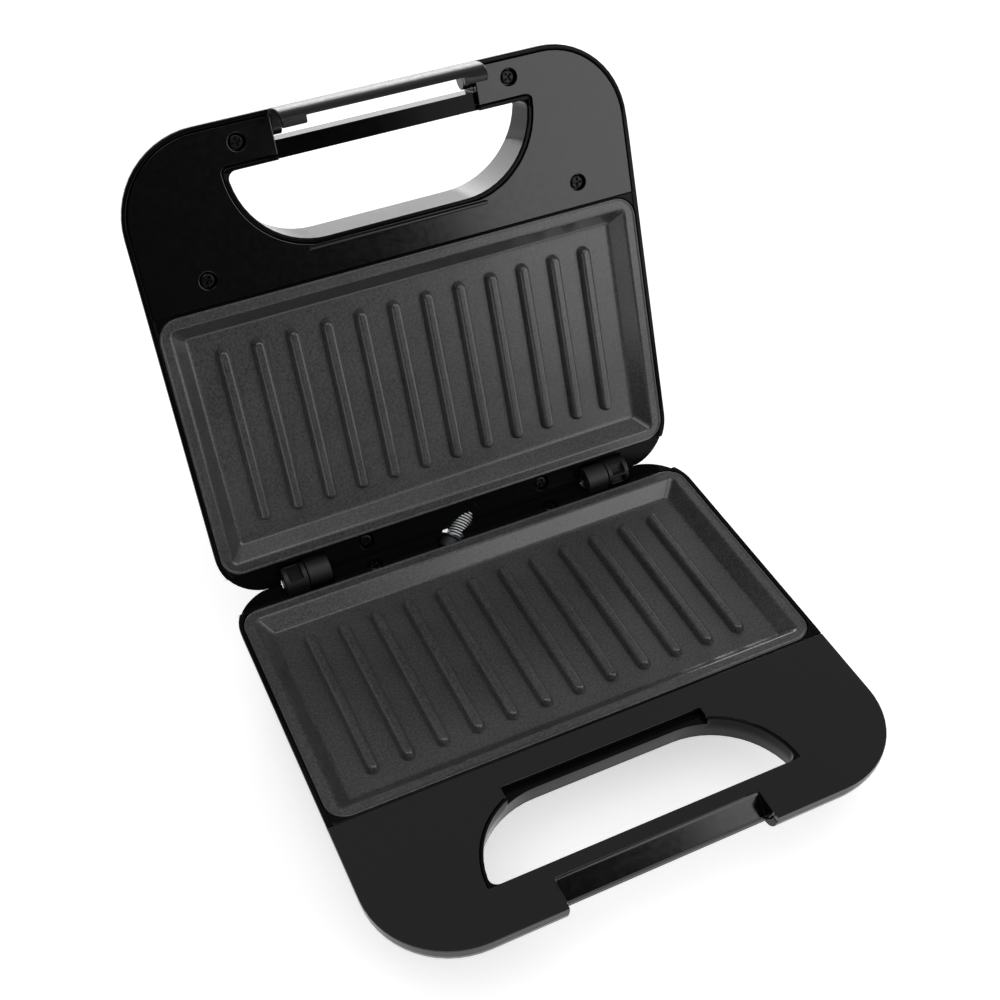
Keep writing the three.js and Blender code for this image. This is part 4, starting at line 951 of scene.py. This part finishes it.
# Name, body, left end, node, and the pockets that save material, as front, rear, low and high
knuckles = [
    ("base_knuckle_left", "base", -84.5, "base_hinge_left", [(-5, 5, 4.5, 9)]),
    ("base_knuckle_right", "base", 63.5, "base_hinge_right", []),
    ("lid_knuckle_left", "lid", -73.8, "lid_hinge_left", []),
    ("lid_knuckle_right", "lid", 74.2, "lid_hinge_right", [(-5.2, -0.8, -9, -4.2), (0.8, 5.2, -9, -4.2)]),
]
for name, body, left, node_name, pockets in knuckles:
    piece = knuckle(-1 if body == "base" else 1, left)
    piece.name = name
    middle = left + KNUCKLE_LENGTH / 2
    for front, rear, low, high in pockets:
        across = (middle - 3.1, middle + 3.1)
        carve(piece, block(*across, HINGE_BEHIND + front, HINGE_BEHIND + rear, low, high))
    soften(piece, 0.35, SHARP, 3)
    smooth(piece)
    place(piece, HALVES[body])
    finished(piece, hinge_nylon, body, node_name)


def screw_form():
    """Pan-head screw with a cross recess, its head's top at zero and its shank downwards."""
    head = rod((0, 0, -1.9), (0, 0, 0), SCREW_HEAD, 40)
    start_edit(head)
    choose(head, "EDGE", lambda co: abs(co.z) < NEAR)
    bpy.ops.mesh.bevel(offset=0.9, segments=5, affect="EDGES")
    end_edit()
    weld(head, rod((0, 0, -11), (0, 0, -0.95), SCREW_SHANK, 24))
    for long, wide in ((1.95, 0.42), (0.42, 1.95)):
        carve(head, block(-long, long, -wide, wide, -1.2, 1))
    soften(head, 0.06, SHARP, 1)
    smooth(head)
    return head


screw = screw_form()
# Each screw's node, body, place and turn in degrees; all but the base's rear ones go in upside down
screw_places = []
for i, where in enumerate(("front_left", "front_right", "rear_left", "rear_right")):
    screw_places.append(("base_screw_" + where, "base", (*BASE_SCREWS[i], -11.5), 25 + 40 * i))
    screw_places.append(("lid_screw_" + where, "lid", (*LID_SCREWS[i], 0.9), 10 + 25 * i))
for i, where in enumerate(("left", "right")):
    x = (2 * i - 1) * REAR_SCREW_X
    screw_places.append(("base_rear_screw_" + where, "base", (x, REAR_SCREW_Y, -2.4), 20 + 30 * i))
    screw_places.append(("lid_rear_screw_" + where, "lid", (x, REAR_SCREW_Y, 2.4), 35 + 20 * i))
for name, body, where, degrees in screw_places:
    piece = twin(screw, name.replace("screw", "pan_screw"))
    turn = Matrix.Rotation(math.radians(degrees), 4, "Z")
    if not name.startswith("base_rear"):
        turn = Matrix.Rotation(math.pi, 4, "X") @ turn
    place(piece, HALVES[body] @ Matrix.Translation(where) @ turn)
    finished(piece, screw_steel, body, name)
bpy.data.objects.remove(screw)

# Pieces whose CAD form is right and only needs its edges rounded
kept_forms = [
    ("power_lens", red_lens, "red_lens", "lid", 0.25),
    ("ready_lens", green_lens, "green_lens", "lid", 0.25),
    ("base_conduit_bush", hinge_nylon, "grey_plastic", "base", 0.25),
    ("lid_conduit_bush", hinge_nylon, "grey_plastic", "lid", 0.25),
    ("cord_gland", foot_rubber, "rubber", "base", 0.4),
    ("foot_front_left", foot_rubber, "rubber", "base", 0.5),
    ("foot_front_right", foot_rubber, "rubber", "base", 0.5),
    ("foot_rear_left", foot_rubber, "rubber", "base", 0.5),
    ("foot_rear_right", foot_rubber, "rubber", "base", 0.5),
    ("hinge_pin_left", screw_steel, "steel", "base", 0.3),
    ("hinge_pin_right", screw_steel, "steel", "base", 0.3),
]
for node_name, material, slot_name, body, width in kept_forms:
    piece = copy_of(node_name, node_name + "_dressed")
    soften(piece, width * MM, 40)
    smooth(piece)
    finished(piece, material, body, node_name)


# Floor, world, lamps and camera

bpy.ops.object.select_all(action="DESELECT")
bpy.ops.mesh.primitive_plane_add(size=1, location=(0, 0.9, 0))
floor = bpy.context.object
floor.name = "floor"
floor.scale = (5, 3.3, 1)
floor_paint = bpy.data.materials.new("floor_paint")
floor_paint.use_nodes = True
tree = floor_paint.node_tree
surface = tree.nodes["Principled BSDF"]
surface.inputs["Base Color"].default_value = colour("#f2f2f2")
surface.inputs["Roughness"].default_value = 0.9
surface.inputs["Specular IOR Level"].default_value = 0
surface.inputs["Emission Color"].default_value = (1, 1, 1, 1)
# The floor looks white to the camera and in reflections, and its own shade keeps the shadow
rays = node(tree, "ShaderNodeLightPath").outputs
settings = {0: rays["Is Camera Ray"], 1: rays["Is Glossy Ray"]}
shown = node(tree, "ShaderNodeMath", settings, operation="MAXIMUM").outputs[0]
settings = {0: shown, 1: rays["Is Transmission Ray"]}
shown = node(tree, "ShaderNodeMath", settings, operation="MAXIMUM").outputs[0]
lift = node(tree, "ShaderNodeMath", {0: shown, 1: FLOOR_LIFT}, operation="MULTIPLY").outputs[0]
tree.links.new(lift, surface.inputs["Emission Strength"])
floor.data.materials.append(floor_paint)

# The world is dim below and behind, and brightens towards the top and rear
world = bpy.context.scene.world or bpy.data.worlds.new("studio")
bpy.context.scene.world = world
world.use_nodes = True
tree = world.node_tree
background = tree.nodes["Background"]
direction = node(tree, "ShaderNodeTexCoord").outputs["Generated"]
settings = {0: direction, 1: (0, 0.6, 0.8)}
facing = node(tree, "ShaderNodeVectorMath", settings, operation="DOT_PRODUCT").outputs["Value"]
settings = {0: facing, 1: -0.35, 2: 0.75, 3: 0.015, 4: 0.36}
level = node(tree, "ShaderNodeMapRange", settings, interpolation_type="SMOOTHSTEP").outputs[0]
tree.links.new(level, background.inputs["Strength"])
background.inputs["Color"].default_value = (1, 1, 1, 1)


def softbox(name, where, target, size, radiance):
    """A flat lamp that gives the same radiance all over its face."""
    lamp = bpy.data.lights.new(name, "AREA")
    lamp.shape = "RECTANGLE"
    lamp.size, lamp.size_y = size
    lamp.energy = radiance * size[0] * size[1] * math.pi
    made = bpy.data.objects.new(name, lamp)
    bpy.context.scene.collection.objects.link(made)
    made.location = where
    made.rotation_euler = (Vector(target) - Vector(where)).to_track_quat("-Z", "Y").to_euler()


softbox("front_right_softbox", (1.05, -1.25, 0.75), (0, 0, 0.1), (1.25, 1.5), 2.2)
softbox("top_softbox", (-0.35, -0.5, 1.7), (0, 0, 0.1), (1.3, 1.3), 1.6)
softbox("low_back_softbox", (0.45, 1.7, 0.34), (0, 0, 0.25), (2.2, 0.6), 4)

# The camera stands as fitted to the corners of the plates, its place in millimetres from the lower one
camera = bpy.data.objects.new("camera", bpy.data.cameras.new("camera"))
bpy.context.scene.collection.objects.link(camera)
camera.data.sensor_width = 36
camera.data.lens = 50.8995
camera.data.clip_start = 0.01
right = Vector((0.90655014, -0.42148416, -0.02275826))
down = Vector((-0.30334098, -0.61305261, -0.72948663))
forward = Vector((0.29351505, 0.66821972, -0.68361635))
turn = Matrix((right, -down, -forward)).transposed().to_4x4()
eye = rim_centre + Vector((-169.43692, -364.84064, 449.29156)) * MM
camera.matrix_world = Matrix.Translation(eye) @ turn
bpy.context.scene.camera = camera
bpy.context.scene.view_settings.view_transform = "Standard"
